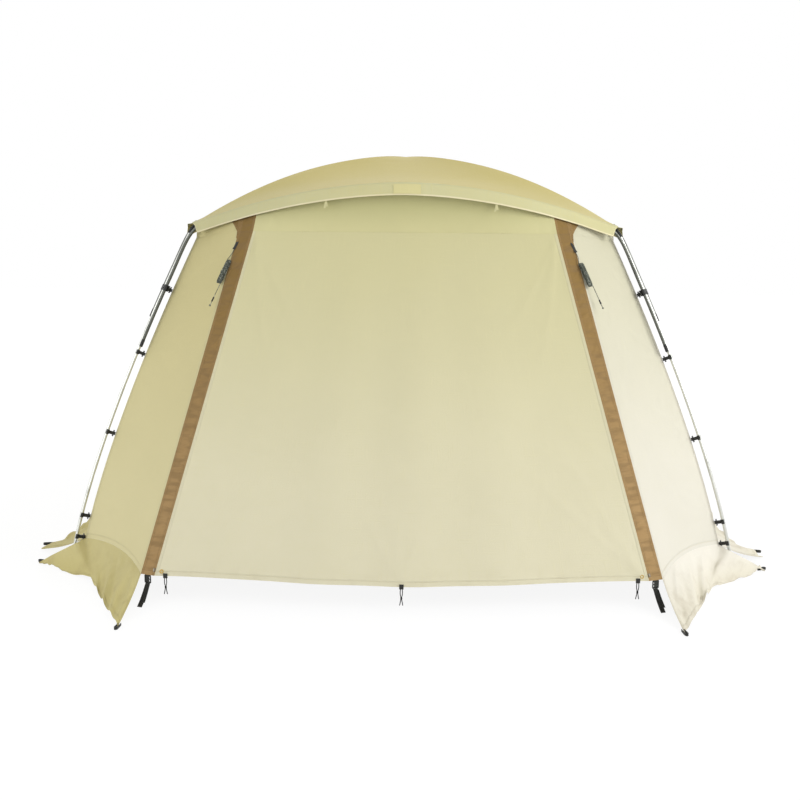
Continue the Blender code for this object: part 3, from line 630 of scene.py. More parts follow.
class Look:
    """A material around one Principled shader."""

    def __init__(self, name, **finish):
        self.material = bpy.data.materials.new(name)
        self.material.use_nodes = True
        self.tree = self.material.node_tree
        self.shader = self.tree.nodes["Principled BSDF"]
        self.set(**finish)

    def give(self, node, values):
        for key, value in values.items():
            socket = node.inputs[key]
            if isinstance(value, Wire):
                self.tree.links.new(value.socket, socket)
            elif socket.type == "RGBA":
                socket.default_value = (*value[:3], 1.0)
            else:
                socket.default_value = value

    def set(self, **finish):
        self.give(self.shader, {key.replace("_", " "): value for key, value in finish.items()})

    def node(self, kind, settings, values, out=0):
        made = self.tree.nodes.new("ShaderNode" + kind)
        for key, value in settings.items():
            setattr(made, key, value)
        self.give(made, values)
        return Wire(self, made.outputs[out])

    def place(self):
        """Metres in the piece's own frame, from the object output."""
        return self.node("TexCoord", {}, {}, out=3)

    def chart(self, name):
        return self.node("UVMap", {"uv_map": name}, {})

    def noise(self, scale, detail, where=None, stretch=(1, 1, 1)):
        where = where or self.place()
        if stretch != (1, 1, 1):
            where = self.node("VectorMath", {"operation": "MULTIPLY"}, {0: where, 1: stretch})
        return self.node("TexNoise", {}, {"Vector": where, "Scale": scale, "Detail": detail})

    def mix(self, share, first, second):
        """Colours mixed: sockets 6 and 7 are the colour ones, and the result is output 2."""
        return self.node("Mix", {"data_type": "RGBA"}, {0: share, 6: first, 7: second}, out=2)

    def finished(self, colour, relief, depth, rough):
        """The material, once it has its colour, its relief with that relief's depth, and its roughness."""
        bump = self.node("Bump", {}, {"Height": relief, "Distance": depth, "Strength": 1.0})
        self.set(Base_Color=colour, Normal=bump, Roughness=rough)
        return self.material


def cloth_look(name, low, high, heights, thread, stitched=True, sheen=0.1, band=None, painted_crease_shade=0.0):
    """Plain woven cloth with slubs, stitches along its sides, a doubled hem and some dust near the ground.

    low and high are its tones at the two heights, band those of a hanging band and its hem tape, and the
    last one is how much painted shade darkens slanting crease lines, standing in for the shade of wrinkles.
    """
    look = Look(name, Roughness=CLOTH_ROUGHNESS, Sheen_Weight=sheen, Sheen_Roughness=0.5)
    look.set(Specular_IOR_Level=0.3)
    chart = look.chart("cloth")
    along, up = chart.part("X"), chart.part("Y")
    height = look.place().part("Z")
    # On the walls and the header, this tone by height is painted shade: darker toward the roof's band above
    # them.
    colour = look.mix(height.ramp(*heights), low, high)
    if band:
        foot = look.chart("edge").part("Y")
        for tone_here, ramp in zip(band, BAND_RAMPS):
            colour = look.mix(1 - foot.ramp(*ramp), colour, tone_here)
    # Painted shade: slanting crease lines darkened in the colour, standing in for the shade in wrinkles.
    if painted_crease_shade:
        slant = look.node("Mapping", {}, {"Vector": chart, "Rotation": (0, 0, -0.55), "Scale": (9, 38, 1)})
        crease_shade_mask = look.noise(1.0, 2.0, slant).ramp(0.42, 0.66)
        colour = look.mix(crease_shade_mask * painted_crease_shade, colour, shaded(low, 0.45))
    cloud = look.noise(2.2, 4.0)
    colour = look.mix((cloud - 0.5) * 0.5 + 0.25, colour, shaded(between(low, high, 0.5), 0.86))
    warp = look.noise(1.0, 2.0, chart, (260, 9, 1))
    weft = look.noise(1.0, 2.0, chart, (9, 260, 1))
    slub = (warp - 0.5).math("MAXIMUM", weft - 0.5).ramp(0.02, 0.3)
    colour = look.mix(slub * 0.22, colour, shaded(high, 1.16))
    crossing = along.sine(WEAVE) * up.sine(WEAVE)
    colour = look.mix(crossing.ramp(-1, 1) * 0.10, colour, shaded(low, 0.72))
    relief = crossing * 0.12 + slub * 0.5
    if stitched:
        edge = look.chart("edge")
        side, foot = edge.part("X"), edge.part("Y")
        doubled = 1 - side.ramp(SEAM - 1 * MM, SEAM + 0.5 * MM)
        doubled = doubled.math("MAXIMUM", 1 - foot.ramp(HEM - 1 * MM, HEM + 1 * MM))
        rows = (abs(side - 4 * MM) < 0.6 * MM) + (abs(side - 11 * MM) < 0.6 * MM)
        dashes = rows * (up.fraction(STITCH) < STITCH_SHARE)
        row = (abs(foot - (HEM - 4 * MM)) < 0.7 * MM) * (along.fraction(STITCH) < STITCH_SHARE)
        stitch = dashes.math("MAXIMUM", row)
        pucker = look.noise(1.0, 2.0, chart, (60, 60, 1)) * doubled
        colour = look.mix(doubled * 0.35, colour, shaded(low, 0.93))
        colour = look.mix(stitch * 0.8, colour, thread)
        # Painted shade: a thin dark line along the fold of each seam and of the hem.
        crease = 1 - abs(side - SEAM).ramp(0, 1.5 * MM)
        crease = crease.math("MAXIMUM", 1 - abs(foot - HEM).ramp(0, 1.5 * MM))
        colour = look.mix(crease * 0.25, colour, shaded(low, 0.55))
        relief = relief + doubled * 1.1 + pucker * 1.2 - stitch * 0.9
    dust = (1 - height.ramp(0.0, 0.22)) * look.noise(14, 5.0).ramp(0.42, 0.75)
    colour = look.mix(dust * 0.25, colour, tone(150, 130, 92))
    return look.finished(colour, relief, 0.7 * MM, CLOTH_ROUGHNESS - 0.06 * slub + 0.05 * dust)


WALL_HEIGHTS = (0.15, 1.75)
SKIRT_HEIGHTS = (0.0, 0.16)
CREAM_THREAD = (205, 196, 150)
CLOTHS = (
    # piece, material, tones at the low and the high height, the two heights, and the thread's tone
    ("roof", "khaki_roof_cloth", (214, 203, 144), (204, 188, 106), (1.70, 1.98), (196, 184, 132)),
    ("patch", "plain_band_patch", (216, 208, 152), (216, 208, 152), (0, 2), CREAM_THREAD),
    # The walls and the header darken toward their tops: painted shade under the roof's band, lighter toward
    # the ground.
    ("wall", "cream_wall_cloth", (227, 221, 193), (206, 200, 150), WALL_HEIGHTS, CREAM_THREAD),
    ("header", "painted_shadow_header_cloth", (213, 207, 157), (190, 187, 134), (1.68, 1.84), CREAM_THREAD),
    # left_ and right_ walls are shaded and lit copies of the same cloth: painted shade and painted light.
    ("left_wall", "painted_shade_wall_cloth", (228, 219, 172), (214, 203, 146), WALL_HEIGHTS, CREAM_THREAD),
    ("right_wall", "painted_light_wall_cloth", (229, 225, 213), (207, 203, 172), WALL_HEIGHTS, CREAM_THREAD),
    ("skirt", "cream_skirt_cloth", (214, 204, 162), (222, 213, 176), SKIRT_HEIGHTS, (200, 190, 142)),
    # left_ and right_ skirts carry the same painted shade and painted light.
    ("left_skirt", "shaded_skirt_cloth", (208, 196, 133), (214, 203, 147), SKIRT_HEIGHTS, (190, 178, 124)),
    ("right_skirt", "pale_skirt_cloth", (229, 223, 203), (238, 234, 222), SKIRT_HEIGHTS, (205, 196, 160)),
    ("strip", "brown_strip_cloth", (176, 144, 98), (134, 106, 52), (0.4, 1.6), (104, 80, 42)),
)
CLOTH_EXTRAS = {
    "roof": {"stitched": False, "band": (tone(207, 205, 163), tone(238, 230, 198))},
    "patch": {"stitched": False},
    # The strips' slanting crease lines are painted shade.
    "strip": {"sheen": 0.03, "painted_crease_shade": 0.55},
}
looks = {
    key: cloth_look(name, tone(*low), tone(*high), heights, tone(*thread), **CLOTH_EXTRAS.get(key, {}))
    for key, name, low, high, heights, thread in CLOTHS
}


def webbing_look(name, colour, light):
    """Ribbed black webbing: fine ribs across, with a lighter fuzz on its high threads."""
    look = Look(name, Roughness=0.7, Sheen_Weight=0.2, Specular_IOR_Level=0.3)
    chart = look.chart("cloth")
    ribs = chart.part("Y").sine(1.6 * MM) * 0.5 + chart.part("X").sine(2.4 * MM) * 0.5
    fuzz = look.noise(900, 3.0).ramp(0.4, 0.8)
    shade = look.mix(ribs.ramp(-0.6, 1) * 0.5 + fuzz * 0.2, colour, light)
    return look.finished(shade, ribs + fuzz * 0.4, 0.35 * MM, 0.62 + 0.2 * fuzz)


def plastic_look(name, colour, light):
    """Moulded plastic: fine grain, with paler scuffs."""
    look = Look(name, Roughness=0.45, Specular_IOR_Level=0.45)
    grain = look.noise(1400, 2.0)
    scuff = look.noise(70, 6.0, stretch=(1, 1, 3)).ramp(0.58, 0.74)
    shade = look.mix(scuff * 0.35, colour, light)
    return look.finished(shade, grain, 0.12 * MM, 0.38 + 0.14 * grain + 0.2 * scuff)


def metal_look(name, colour, dull, rough, scratch=(160, 160, 4), metal=1.0):
    """Drawn metal: fine lengthways scratches and a few dull smears."""
    look = Look(name, Roughness=rough, Metallic=metal)
    lines = look.noise(6, 4.0, stretch=scratch)
    smear = look.noise(9, 4.0).ramp(0.5, 0.72)
    shade = look.mix(smear * 0.4 + lines * 0.15, colour, dull)
    return look.finished(shade, lines, 0.05 * MM, rough + 0.12 * lines + 0.15 * smear)


def cord_look(name, colour, fleck, share, braid=2.4 * MM):
    """Braided cord: slanting strands with lighter flecks."""
    look = Look(name, Roughness=0.7, Specular_IOR_Level=0.3)
    where = look.place()
    x, y, z = (where.part(axis) for axis in "XYZ")
    strands = (x + y + z).sine(braid) * (x - y - z).sine(braid)
    flecks = look.noise(130, 2.0).ramp(0.62 - share * 0.2, 0.7)
    shade = look.mix(strands.ramp(-1, 1) * 0.55, shaded(colour, 0.5), colour)
    shade = look.mix(flecks * 0.8, shade, fleck)
    return look.finished(shade, strands, 0.5 * MM, 0.75 - 0.3 * flecks)


looks |= {
    "webbing": webbing_look("black_webbing", tone(30, 31, 27), tone(62, 62, 56)),
    "plastic": plastic_look("black_plastic", tone(24, 25, 23), tone(78, 78, 74)),
    "steel": metal_look("steel_tube", tone(214, 215, 208), tone(150, 151, 146), 0.24),
    # Painted reflection: the eave poles are pale metal, painted dark grey for the dark reflections along
    # them.
    "rod": metal_look("painted_reflection_rod", tone(98, 100, 94), tone(52, 54, 50), 0.2, metal=0.8),
    "zip": metal_look("zip_metal", tone(120, 112, 98), tone(70, 64, 54), 0.35, (80, 80, 80)),
    "brass": metal_look("eyelet_brass", tone(196, 164, 92), tone(128, 104, 58), 0.3, (90, 90, 90)),
    "cord": cord_look("grey_guy_cord", tone(126, 132, 118), tone(206, 211, 198), 0.6),
    "elastic": cord_look("black_elastic", tone(34, 34, 31), tone(70, 70, 64), 0.1, 1.8 * MM),
}
for guy in guys.values():
    guy["piece"].data.materials.append(looks["cord"])
for loop in loops.values():
    loop["piece"].data.materials.append(looks["elastic"])


# Meshes


def finish_piece(made, body, nodes=()):
    """Puts a piece on its body, or, given two bodies with a bend's first and last point, only bakes its
    place into its mesh; then hides the solids it stands in for.
    """
    if isinstance(body, str):
        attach(made, body)
    else:
        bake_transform(made)
    if nodes:
        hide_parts(*nodes)
    return made


def mesh_piece(name, points, faces, look):
    data = bpy.data.meshes.new(name)
    data.from_pydata([tuple(map(float, p)) for p in points], [], faces)
    shape = bmesh.new()
    shape.from_mesh(data)
    bmesh.ops.recalc_face_normals(shape, faces=shape.faces)
    shape.to_mesh(data)
    shape.free()
    data.shade_smooth()
    data.set_sharp_from_angle(angle=math.radians(SHARP_ANGLE))
    data.materials.append(look)
    return placed(name, data)


def normals_of(grid):
    """The outward direction at each point of a grid whose columns run anticlockwise and rows run up."""
    across = np.gradient(grid, axis=1)
    upward = np.gradient(grid, axis=0)
    normal = np.cross(across, upward)
    return normal / np.maximum(np.linalg.norm(normal, axis=2, keepdims=True), 1e-12)


def chart_of(grid):
    """Metres along the rows and up the columns of a grid, as one map."""
    steps = np.linalg.norm(np.diff(grid, axis=1), axis=2).mean(axis=0)
    lifts = np.linalg.norm(np.diff(grid, axis=0), axis=2).mean(axis=1)
    return np.stack(np.meshgrid(totals(steps), totals(lifts)), axis=2)


def edges_of(grid):
    """Distance to the nearer side and to the lowest row, over a grid."""
    run = np.array([run_along(row) for row in grid])
    side = np.minimum(run, run[:, -1:] - run)
    return np.stack([side, chart_of(grid)[..., 1]], axis=2)


def area_of(grid):
    a, b, c, d = grid[:-1, :-1], grid[:-1, 1:], grid[1:, 1:], grid[1:, :-1]
    return float(np.linalg.norm(np.cross(c - a, d - b), axis=2).sum() / 2)


def cloth(name, grids, look, edges=None, charts=None, thick=SHOWN_CLOTH, offset=-1):
    """One sheet from a grid, or from several that share seams, with its outer face where the grids are."""
    points, faces, maps = [], [], {"cloth": [], "edge": []}
    for k, grid in enumerate(grids):
        start = len(points)
        rows, columns = grid.shape[:2]
        points.extend(grid.reshape(-1, 3))
        chart = charts[k] if charts else chart_of(grid)
        edge = edges[k] if edges else edges_of(grid)
        for r in range(rows - 1):
            for c in range(columns - 1):
                corners = ((r, c), (r, c + 1), (r + 1, c + 1), (r + 1, c))
                faces.append([start + i * columns + j for i, j in corners])
                maps["cloth"].extend(chart[i, j] for i, j in corners)
                maps["edge"].extend(edge[i, j] for i, j in corners)
    data = bpy.data.meshes.new(name)
    data.from_pydata(np.array(points).tolist(), [], faces)
    for title, values in maps.items():
        layer = data.uv_layers.new(name=title)
        layer.data.foreach_set("uv", np.array(values, np.float32).reshape(-1))
    shape = bmesh.new()
    shape.from_mesh(data)
    bmesh.ops.remove_doubles(shape, verts=shape.verts, dist=1e-5)
    for line in shape.edges:
        line.smooth = not line.is_boundary
    shape.to_mesh(data)
    shape.free()
    data.shade_smooth()
    data.materials.append(look)
    made = placed(name, data)
    back = made.modifiers.new("thickness", "SOLIDIFY")
    back.thickness = thick
    back.offset = offset
    return made


def hang(made, grids, body, slot, held, rests_on, nodes):
    """Puts a cloth piece on its body and prints the size that its panel was cut to, before any wrinkle, and
    its area.
    """
    width = sum(np.linalg.norm(np.diff(g, axis=1), axis=2).sum(axis=1).max() for g in grids)
    length = max(np.linalg.norm(np.diff(g, axis=0), axis=2).sum(axis=0).max() for g in grids)
    area = sum(area_of(g) for g in grids)
    finish_piece(made, body, nodes)
    width, length = (math.ceil(side / MM) * MM for side in (width, length))
    print(f"cloth {made.name}: {width:.2f} x {length:.2f} m, {area:.2f} m2")


# Wrinkles

BILLOW_WAVES = 7


def smoothstep(x, low, high):
    t = np.clip((x - low) / (high - low), 0, 1)
    return t * t * (3 - 2 * t)


def billow(points, seed, size):
    """A soft unevenness between about -1 and 1: a few waves of about one length in every direction."""
    draw = np.random.default_rng(seed)
    total = np.zeros(points.shape[:-1])
    for _ in range(BILLOW_WAVES):
        way = unit(draw.normal(size=points.shape[-1]))
        wave = size * draw.uniform(0.7, 1.5)
        total += np.sin(points @ way * 2 * math.pi / wave + draw.uniform(0, 2 * math.pi))
    return total / math.sqrt(BILLOW_WAVES)


def creases(chart, seed, count, long, wide, tilt=(0, math.pi)):
    """Short soft ridges and hollows, scattered over a cloth's chart."""
    draw = np.random.default_rng(seed)
    low, high = chart.reshape(-1, 2).min(axis=0), chart.reshape(-1, 2).max(axis=0)
    total = np.zeros(chart.shape[:2])
    for _ in range(count):
        middle = draw.uniform(low, high)
        angle = draw.uniform(*tilt)
        way = np.array((math.cos(angle), math.sin(angle)))
        reach, half = draw.uniform(*long) / 2, draw.uniform(*wide) / 2
        away = chart - middle
        along = away @ way
        off = away @ np.array((-way[1], way[0])) - draw.uniform(-0.25, 0.25) * along**2 / reach
        strength = draw.choice((-1, 1)) * draw.uniform(0.4, 1)
        total += strength * np.exp(-((off / half) ** 2) - (along / reach) ** 4)
    return total


def pulls(chart, root, tips, wide, seed):
    """Tension folds that fan out from a point of the chart to each tip, fading as they widen."""
    draw = np.random.default_rng(seed)
    total = np.zeros(chart.shape[:2])
    for tip in tips:
        way = np.asarray(tip, float) - root
        reach = np.linalg.norm(way)
        way = way / reach
        away = chart - root
        along = away @ way
        off = away @ np.array((-way[1], way[0]))
        half = wide * (0.35 + np.clip(along / reach, 0, 1))
        fade = smoothstep(along, 0, 0.08 * reach) * (1 - smoothstep(along, 0.35 * reach, reach))
        total += draw.uniform(0.6, 1) * np.exp(-((off / half) ** 2)) * fade
    return total


def clip_pulls(chart, leg, fan, top, wide, seed):
    """Tension folds that run in from a leg's clips; leg is its side of the chart, top the real height."""
    total = np.zeros(chart.shape[:2])
    for share in (*CLIP_SHARES, WIDE_CLIP_SHARE):
        at = (share * SHOULDER_HEIGHT - HEM_HEIGHT) / (top - HEM_HEIGHT) * chart[-1, -1, 1]
        total += pulls(chart, (leg, at), [(leg + x, at + y) for x, y in fan], wide, seed)
    return total


def sewn(edge, side, top, foot=None):
    """1 in the open cloth and 0 at its sewn sides, top and foot, so that neighbours keep their seams."""
    held = smoothstep(edge[..., 0], 0, side) * smoothstep(edge[..., 1].max() - edge[..., 1], 0, top)
    return held if foot is None else held * smoothstep(edge[..., 1], 0, foot)


def raised(grid, relief):
    """A grid moved out along its own normals."""
    return grid + normals_of(grid) * relief[..., None]


def hang_raised(name, grid, relief, look, *declared, edges=None):
    hang(cloth(name, [raised(grid, relief)], looks[look], edges), [grid], *declared)


# Walls

# Shaded and lit copies of one cloth: painted shade makes the front's left and the left side khaki,
# and painted light makes its right and the right side almost ivory.
LIT_AND_SHADED_SIDES = {
    "front_left": "left_",
    "left_side": "left_",
    "front_right": "right_",
    "right_side": "right_",
}
DOOR_FAN = ((0.35, 0.9), (0.55, 0.7), (0.25, 0.5), (0.12, 0.2))  # where the folds from a door's corner end
SIDE_STARTS = ((FRONT_END, "right"), (HALF_RING + FRONT_END, "left"))


def ring_part(rows, start, count):
    places = [(start + i) % rows.shape[1] for i in range(count + 1)]
    return rows[:, places].copy()


def make_doors():
    for side, where in enumerate(ENDS):
        grid = ring_part(rings, side * HALF_RING + DOOR_START, DOOR_COLUMNS)
        chart, edge = chart_of(grid), edges_of(grid)
        width, length = chart[-1, -1]
        relief = 2.2 * MM * billow(grid, 3 + side, 0.9)
        relief += 1.5 * MM * creases(chart, 5 + side, 46, (0.15, 0.6), (8 * MM, 26 * MM))
        for corner, sign in ((0, 1), (width, -1)):
            fan = [(corner + sign * x, y) for x, y in DOOR_FAN]
            falls = [(x, length - y) for x, y in fan]
            relief += 2.4 * MM * pulls(chart, (corner, length), falls, 22 * MM, 7)
            relief += 2.0 * MM * pulls(chart, (corner, 0), fan, 20 * MM, 8)
        fan = [(width / 2 + x, 0.45) for x in (-0.22, -0.05, 0.12)]
        relief += 2.0 * MM * pulls(chart, (width / 2, 0), fan, 18 * MM, 9)
        relief *= sewn(edge, 40 * MM, 60 * MM)
        declared = (f"{where}_door", "wall_cloth", "hung", [f"{where}_header"], [f"{where}_door"])
        hang_raised(f"{where}_door_cloth", grid, relief, "wall", *declared)


def make_headers():
    """The cloth between each door and the roof's band, with the brown strips carried up over its ends."""
    for side, where in enumerate(ENDS):
        grid = ring_part(upper, side * HALF_RING, FRONT_END)
        grid[0, :, 2] += GAP
        for title, first, last, look in (
            ("left_end", 0, DOOR_START - 1, "wall" if side else "left_wall"),
            ("left_strip_top", DOOR_START - 1, DOOR_START, "strip"),
            ("middle", DOOR_START, DOOR_END, "header"),
            ("right_strip_top", DOOR_END, DOOR_END + 1, "strip"),
            ("right_end", DOOR_END + 1, FRONT_END, "wall" if side else "right_wall"),
        ):
            part = widened(grid[:, first : last + 1])
            chart, edge = chart_of(part), edges_of(part)
            count = 6 + (last - first) // 3
            relief = creases(chart, 21 + first, count, (0.05, 0.25), (8 * MM, 24 * MM), (1.1, 2.0))
            relief = (1.6 * MM * relief - 0.6 * MM) * sewn(edge, 20 * MM, 25 * MM, 15 * MM)
            # No stitches show at its foot or at the middle part's sides: the seams there are the door's.
            unstitched = edge + (1.0 if title == "middle" else 0.0, 1.0)
            nodes = [f"{where}_header"] if title == "middle" else []
            slot = "strip_cloth" if look == "strip" else "wall_cloth"
            declared = ("tent", slot, "stretched", [f"{where}_eave_pole"], nodes)
            hang_raised(f"{where}_header_{title}", part, relief, look, *declared, edges=[unstitched])


def widened(part):
    """A one-column part of the ring with more columns between its sides."""
    if part.shape[1] > 2:
        return part
    shares = np.linspace(0, 1, STRIP_COLUMNS + 1)
    return np.stack([between(part[:, 0], part[:, 1], s) for s in shares], axis=1)


def finer(grid, rows):
    """The same sheet with more rows."""
    old, new = np.linspace(0, 1, len(grid)), np.linspace(0, 1, rows + 1)
    columns = [np.interp(new, old, column) for column in grid.reshape(len(grid), -1).T]
    return np.stack(columns, axis=1).reshape(rows + 1, *grid.shape[1:])


def make_strips():
    for side, end, name in each_strip():
        first = ring_place(side, end, DOOR_END, DOOR_START - 1)
        grid = finer(widened(ring_part(rings, first, 1)), STRIP_ROWS)
        chart, edge = chart_of(grid), edges_of(grid)
        seed = 31 + 2 * side + (end == 1)
        relief = 3.6 * MM * creases(chart, seed, 70, (0.04, 0.11), (9 * MM, 24 * MM), (0.1, 0.9))
        relief += 2.2 * MM * billow(chart, seed, 0.12)
        relief *= sewn(edge, 14 * MM, 20 * MM, 20 * MM)
        declared = ("tent", "strip_cloth", "hung", [f"{name}_corner_panel"], [f"{name}_corner_strip"])
        hang_raised(f"{name}_strip_cloth", grid, relief, "strip", *declared)


def make_gussets():
    """Brown triangles that spread the strips' tops over the corner cloth, where the guy lines start."""
    whole = np.concatenate([rings[-3:], upper[1:]])
    for side, end, name in each_strip():
        first = ring_place(side, end, DOOR_END + 1, DOOR_START - 1)
        rows = whole[:, [first + end * i for i in range(PANEL_COLUMNS)]]
        widths = np.clip(np.linspace(0, 1.4, len(rows)), 0.04, 1) * GUSSET_WIDTH
        shares = np.linspace(-0.02, 1, 9)
        grid = [sampled(shares * width, run_along(row), row) for row, width in zip(rows, widths)]
        grid = np.array(grid)[:, ::end]
        relief = GUSSET_LIFT + 0.8 * MM * billow(chart_of(grid), 35 + side, 0.05)
        finish_piece(cloth(f"{name}_gusset", [raised(grid, relief)], looks["strip"]), "tent")


def make_panels():
    for side, end, name in each_strip():
        grid = ring_part(rings, ring_place(side, end, DOOR_END + 1, 0), PANEL_COLUMNS)
        chart, edge = chart_of(grid), edges_of(grid)
        leg, sign = (chart[-1, -1, 0], -1) if end == 1 else (0, 1)
        seed = 41 + 2 * side + (end == 1)
        relief = 2.0 * MM * billow(grid, seed, 0.5)
        relief += 1.6 * MM * creases(chart, seed, 26, (0.12, 0.5), (8 * MM, 24 * MM), (0.9, 2.2))
        fan = [(sign * 0.3, rise) for rise in (-0.16, 0.0, 0.2)]
        relief += 2.2 * MM * clip_pulls(chart, leg, fan, HINGE_HEIGHT, 16 * MM, seed)
        relief *= sewn(edge, 30 * MM, 40 * MM, 25 * MM)
        look = LIT_AND_SHADED_SIDES.get(name, "") + "wall"
        declared = ("tent", "wall_cloth", "stretched", [f"{name}_leg_pole"], [f"{name}_corner_panel"])
        hang_raised(f"{name}_panel_cloth", grid, relief, look, *declared)


def make_sides():
    whole = np.concatenate([rings, upper[1:]])
    for start, hand in SIDE_STARTS:
        grid = ring_part(whole, start, SIDE_COLUMNS)
        chart, edge = chart_of(grid), edges_of(grid)
        relief = 2.4 * MM * billow(grid, 51 + len(hand), 0.8)
        relief += 1.7 * MM * creases(chart, 52 + len(hand), 60, (0.15, 0.6), (9 * MM, 28 * MM))
        for leg, sign in ((0, 1), (chart[-1, -1, 0], -1)):
            fan = [(sign * 0.35, rise) for rise in (-0.18, 0.0, 0.2)]
            relief += 2.4 * MM * clip_pulls(chart, leg, fan, SHOULDER_HEIGHT, 18 * MM, 53)
        relief *= sewn(edge, 30 * MM, 40 * MM, 25 * MM)
        look = LIT_AND_SHADED_SIDES[f"{hand}_side"] + "wall"
        declared = ("tent", "wall_cloth", "stretched", [f"front_{hand}_leg_pole"], [f"{hand}_side_wall"])
        hang_raised(f"{hand}_side_cloth", grid, relief, look, *declared)


# Roof

ROOF_END_COLUMNS = (0.955, 0.9625, BAND_END_SHARES[1], 0.978, 0.985, 0.9925, 1.0)
front_band = []  # its rows, its columns' places and the ways out at them, for the ties and the patch


def roof_point(across, share, side):
    bow, arch = eave_shape(across, side)
    pulled = np.interp(abs(across), (BAND_END_SHARES[1], 1), (0, 1))
    s = share * (SHOULDER_REACH - CORNER_PULL * 2 * pulled * share**PULL_POWER_SHARE)
    sag = ROOF_SAG * math.sin(math.pi * share) * (1 - across**2)
    height = roof_height(s) + crossing_rise(s) + arch * share**3 - sag
    return quarter_turned((across * s, -(s + bow * share**3), height), side)


def band_share(across):
    return np.interp(abs(across), BAND_END_SHARES, (1, BAND_LEAST_SHARE))


def make_roof():
    """One sheet over the poles, with a band that hangs outside the eaves and a paler tape along its hem."""
    half = [*np.linspace(0, BAND_END_SHARES[0], ROOF_COLUMNS), *ROOF_END_COLUMNS]
    acrosses = [*(-u for u in half[:0:-1]), *half]
    columns = len(acrosses) - 1
    lift = ROOF_CLEARANCE_SHARE * (POLE_RADIUS + GAP + CLOTH)
    shares = np.linspace(0, 1, ROOF_ROWS + 1)
    rims = [[roof_point(u, 1, side) + (0, 0, lift) for u in acrosses[:-1]] for side in range(4)]
    outs = outward_of(np.array([p for rim in rims for p in rim]))
    band = np.array([band_share(u) for u in acrosses])[:, None]
    bulge = (0, POLE_BULGE, POLE_BULGE, 0)
    bulge = np.interp(np.abs(acrosses), (BULGE_START_SHARE, *BAND_END_SHARES, 1), bulge)[:, None]
    u = np.array(acrosses)[None, :]
    t = shares[:, None]
    fade = smoothstep(t, 0.05, 0.3) * smoothstep(1 - t, 0, 0.12) * smoothstep(1 - abs(u), 0, 0.10)
    grids, charts, edges = [], [], []
    for side in range(4):
        rows = np.array([[roof_point(u, t, side) + (0, 0, lift) for u in acrosses] for t in shares])
        out = outs[[(side * columns + i) % len(outs) for i in range(columns + 1)]]
        reach = out * (POLE_RADIUS + GAP + CLOTH + BAND_EASE + bulge)
        rim = rows[-1].copy()
        shoulder = rim + reach - band * (0, 0, BAND_TURN_SHARE * lift)
        hem = rim + reach + out * BAND_FLARE * band - band * (0, 0, BAND_DROP)
        rows[-1] = rim + reach * BAND_TURN_SHARE
        flat = rows[..., :2]
        relief = 2.6 * MM * billow(flat, 61 + side, 0.7)
        relief += 1.6 * MM * creases(flat, 71 + side, 60, (0.15, 0.5), (10 * MM, 30 * MM))
        rows[..., 2] += relief * fade
        wave = 1.6 * MM * billow(np.array(acrosses)[:, None] * 1.2, 81 + side, 0.25)[:, None]
        drops = np.linspace(0, 1, BAND_ROWS + 1)[1:]
        falls = [between(shoulder, hem, d) + out * wave * d * band for d in drops]
        sheet = np.concatenate([rows, [shoulder], falls])[::-1]
        grids.append(sheet)
        level = unit(sheet[0, -1] - sheet[0, 0])
        run = run_along(sheet[:, len(acrosses) // 2])
        spread_out = np.array([np.dot(row - sheet[0, 0], level) for row in sheet])
        charts.append(np.stack([spread_out, np.repeat(run[:, None], len(acrosses), axis=1)], axis=2))
        # How far a point is from the corner seams, which draw together towards the top.
        aside = np.repeat(((1 - abs(u)) * SHOULDER_REACH / math.sqrt(2))[0][None], len(sheet), axis=0)
        aside *= np.concatenate([t[:, 0], np.ones(BAND_ROWS + 1)])[::-1][:, None]
        edges.append(np.stack([aside, charts[-1][..., 1]], axis=2))
        if side == 0:
            front_band.extend((sheet[: BAND_ROWS + 1], acrosses, out))
    piece = cloth("roof_cloth", grids, looks["roof"], edges, charts)
    poles = ["front_right_roof_pole", "front_left_roof_pole"]
    hang(piece, grids, "tent", "roof_cloth", "stretched", poles, ["roof_canopy"])


# Skirts


def skirt(name, hem, ground, node, seed):
    """A skirt from a wall's hem out to the ground, with folds that run down it and a wavy lower edge."""
    drops = np.linspace(0, 1, SKIRT_ROWS + 1)
    hem = hem - (0, 0, GAP)
    rows = np.array([between(hem, ground, d) for d in drops])
    for row, drop in zip(rows, drops):
        row[:, 2] = np.maximum(row[:, 2] - SKIRT_SAG * 4 * drop * (1 - drop), 0)
    flat = rows[::-1].copy()
    flat[:, :, 2] += SHOWN_CLOTH + GAP
    flat[-1, :, 2] -= SHOWN_CLOTH + GAP
    chart, edge = chart_of(flat), edges_of(flat)
    length = chart[-1, -1, 1]
    free = 1 - smoothstep(chart[..., 1], 0.1 * length, length)
    folds = 16 * MM * (0.4 + billow(chart * (1, 0.25), seed, 0.15)) * free
    folds += 8 * MM * creases(chart, seed, 30, (0.12, 0.36), (16 * MM, 44 * MM), (0.9, 2.2))
    folds *= smoothstep(edge[..., 0], -10 * MM, 25 * MM) * smoothstep(length - edge[..., 1], 0, 30 * MM)
    shaped = flat.copy()
    shaped[..., 2] = np.maximum(flat[..., 2] + folds, SHOWN_CLOTH + 0.2 * MM)
    look = looks[LIT_AND_SHADED_SIDES.get(name.replace("_skirt", ""), "") + "skirt"]
    piece = cloth(name + "_cloth", [shaped], look)
    hang(piece, [flat], "tent", "skirt_cloth", "draped", ["ground", node.replace("skirt", "panel")], [node])


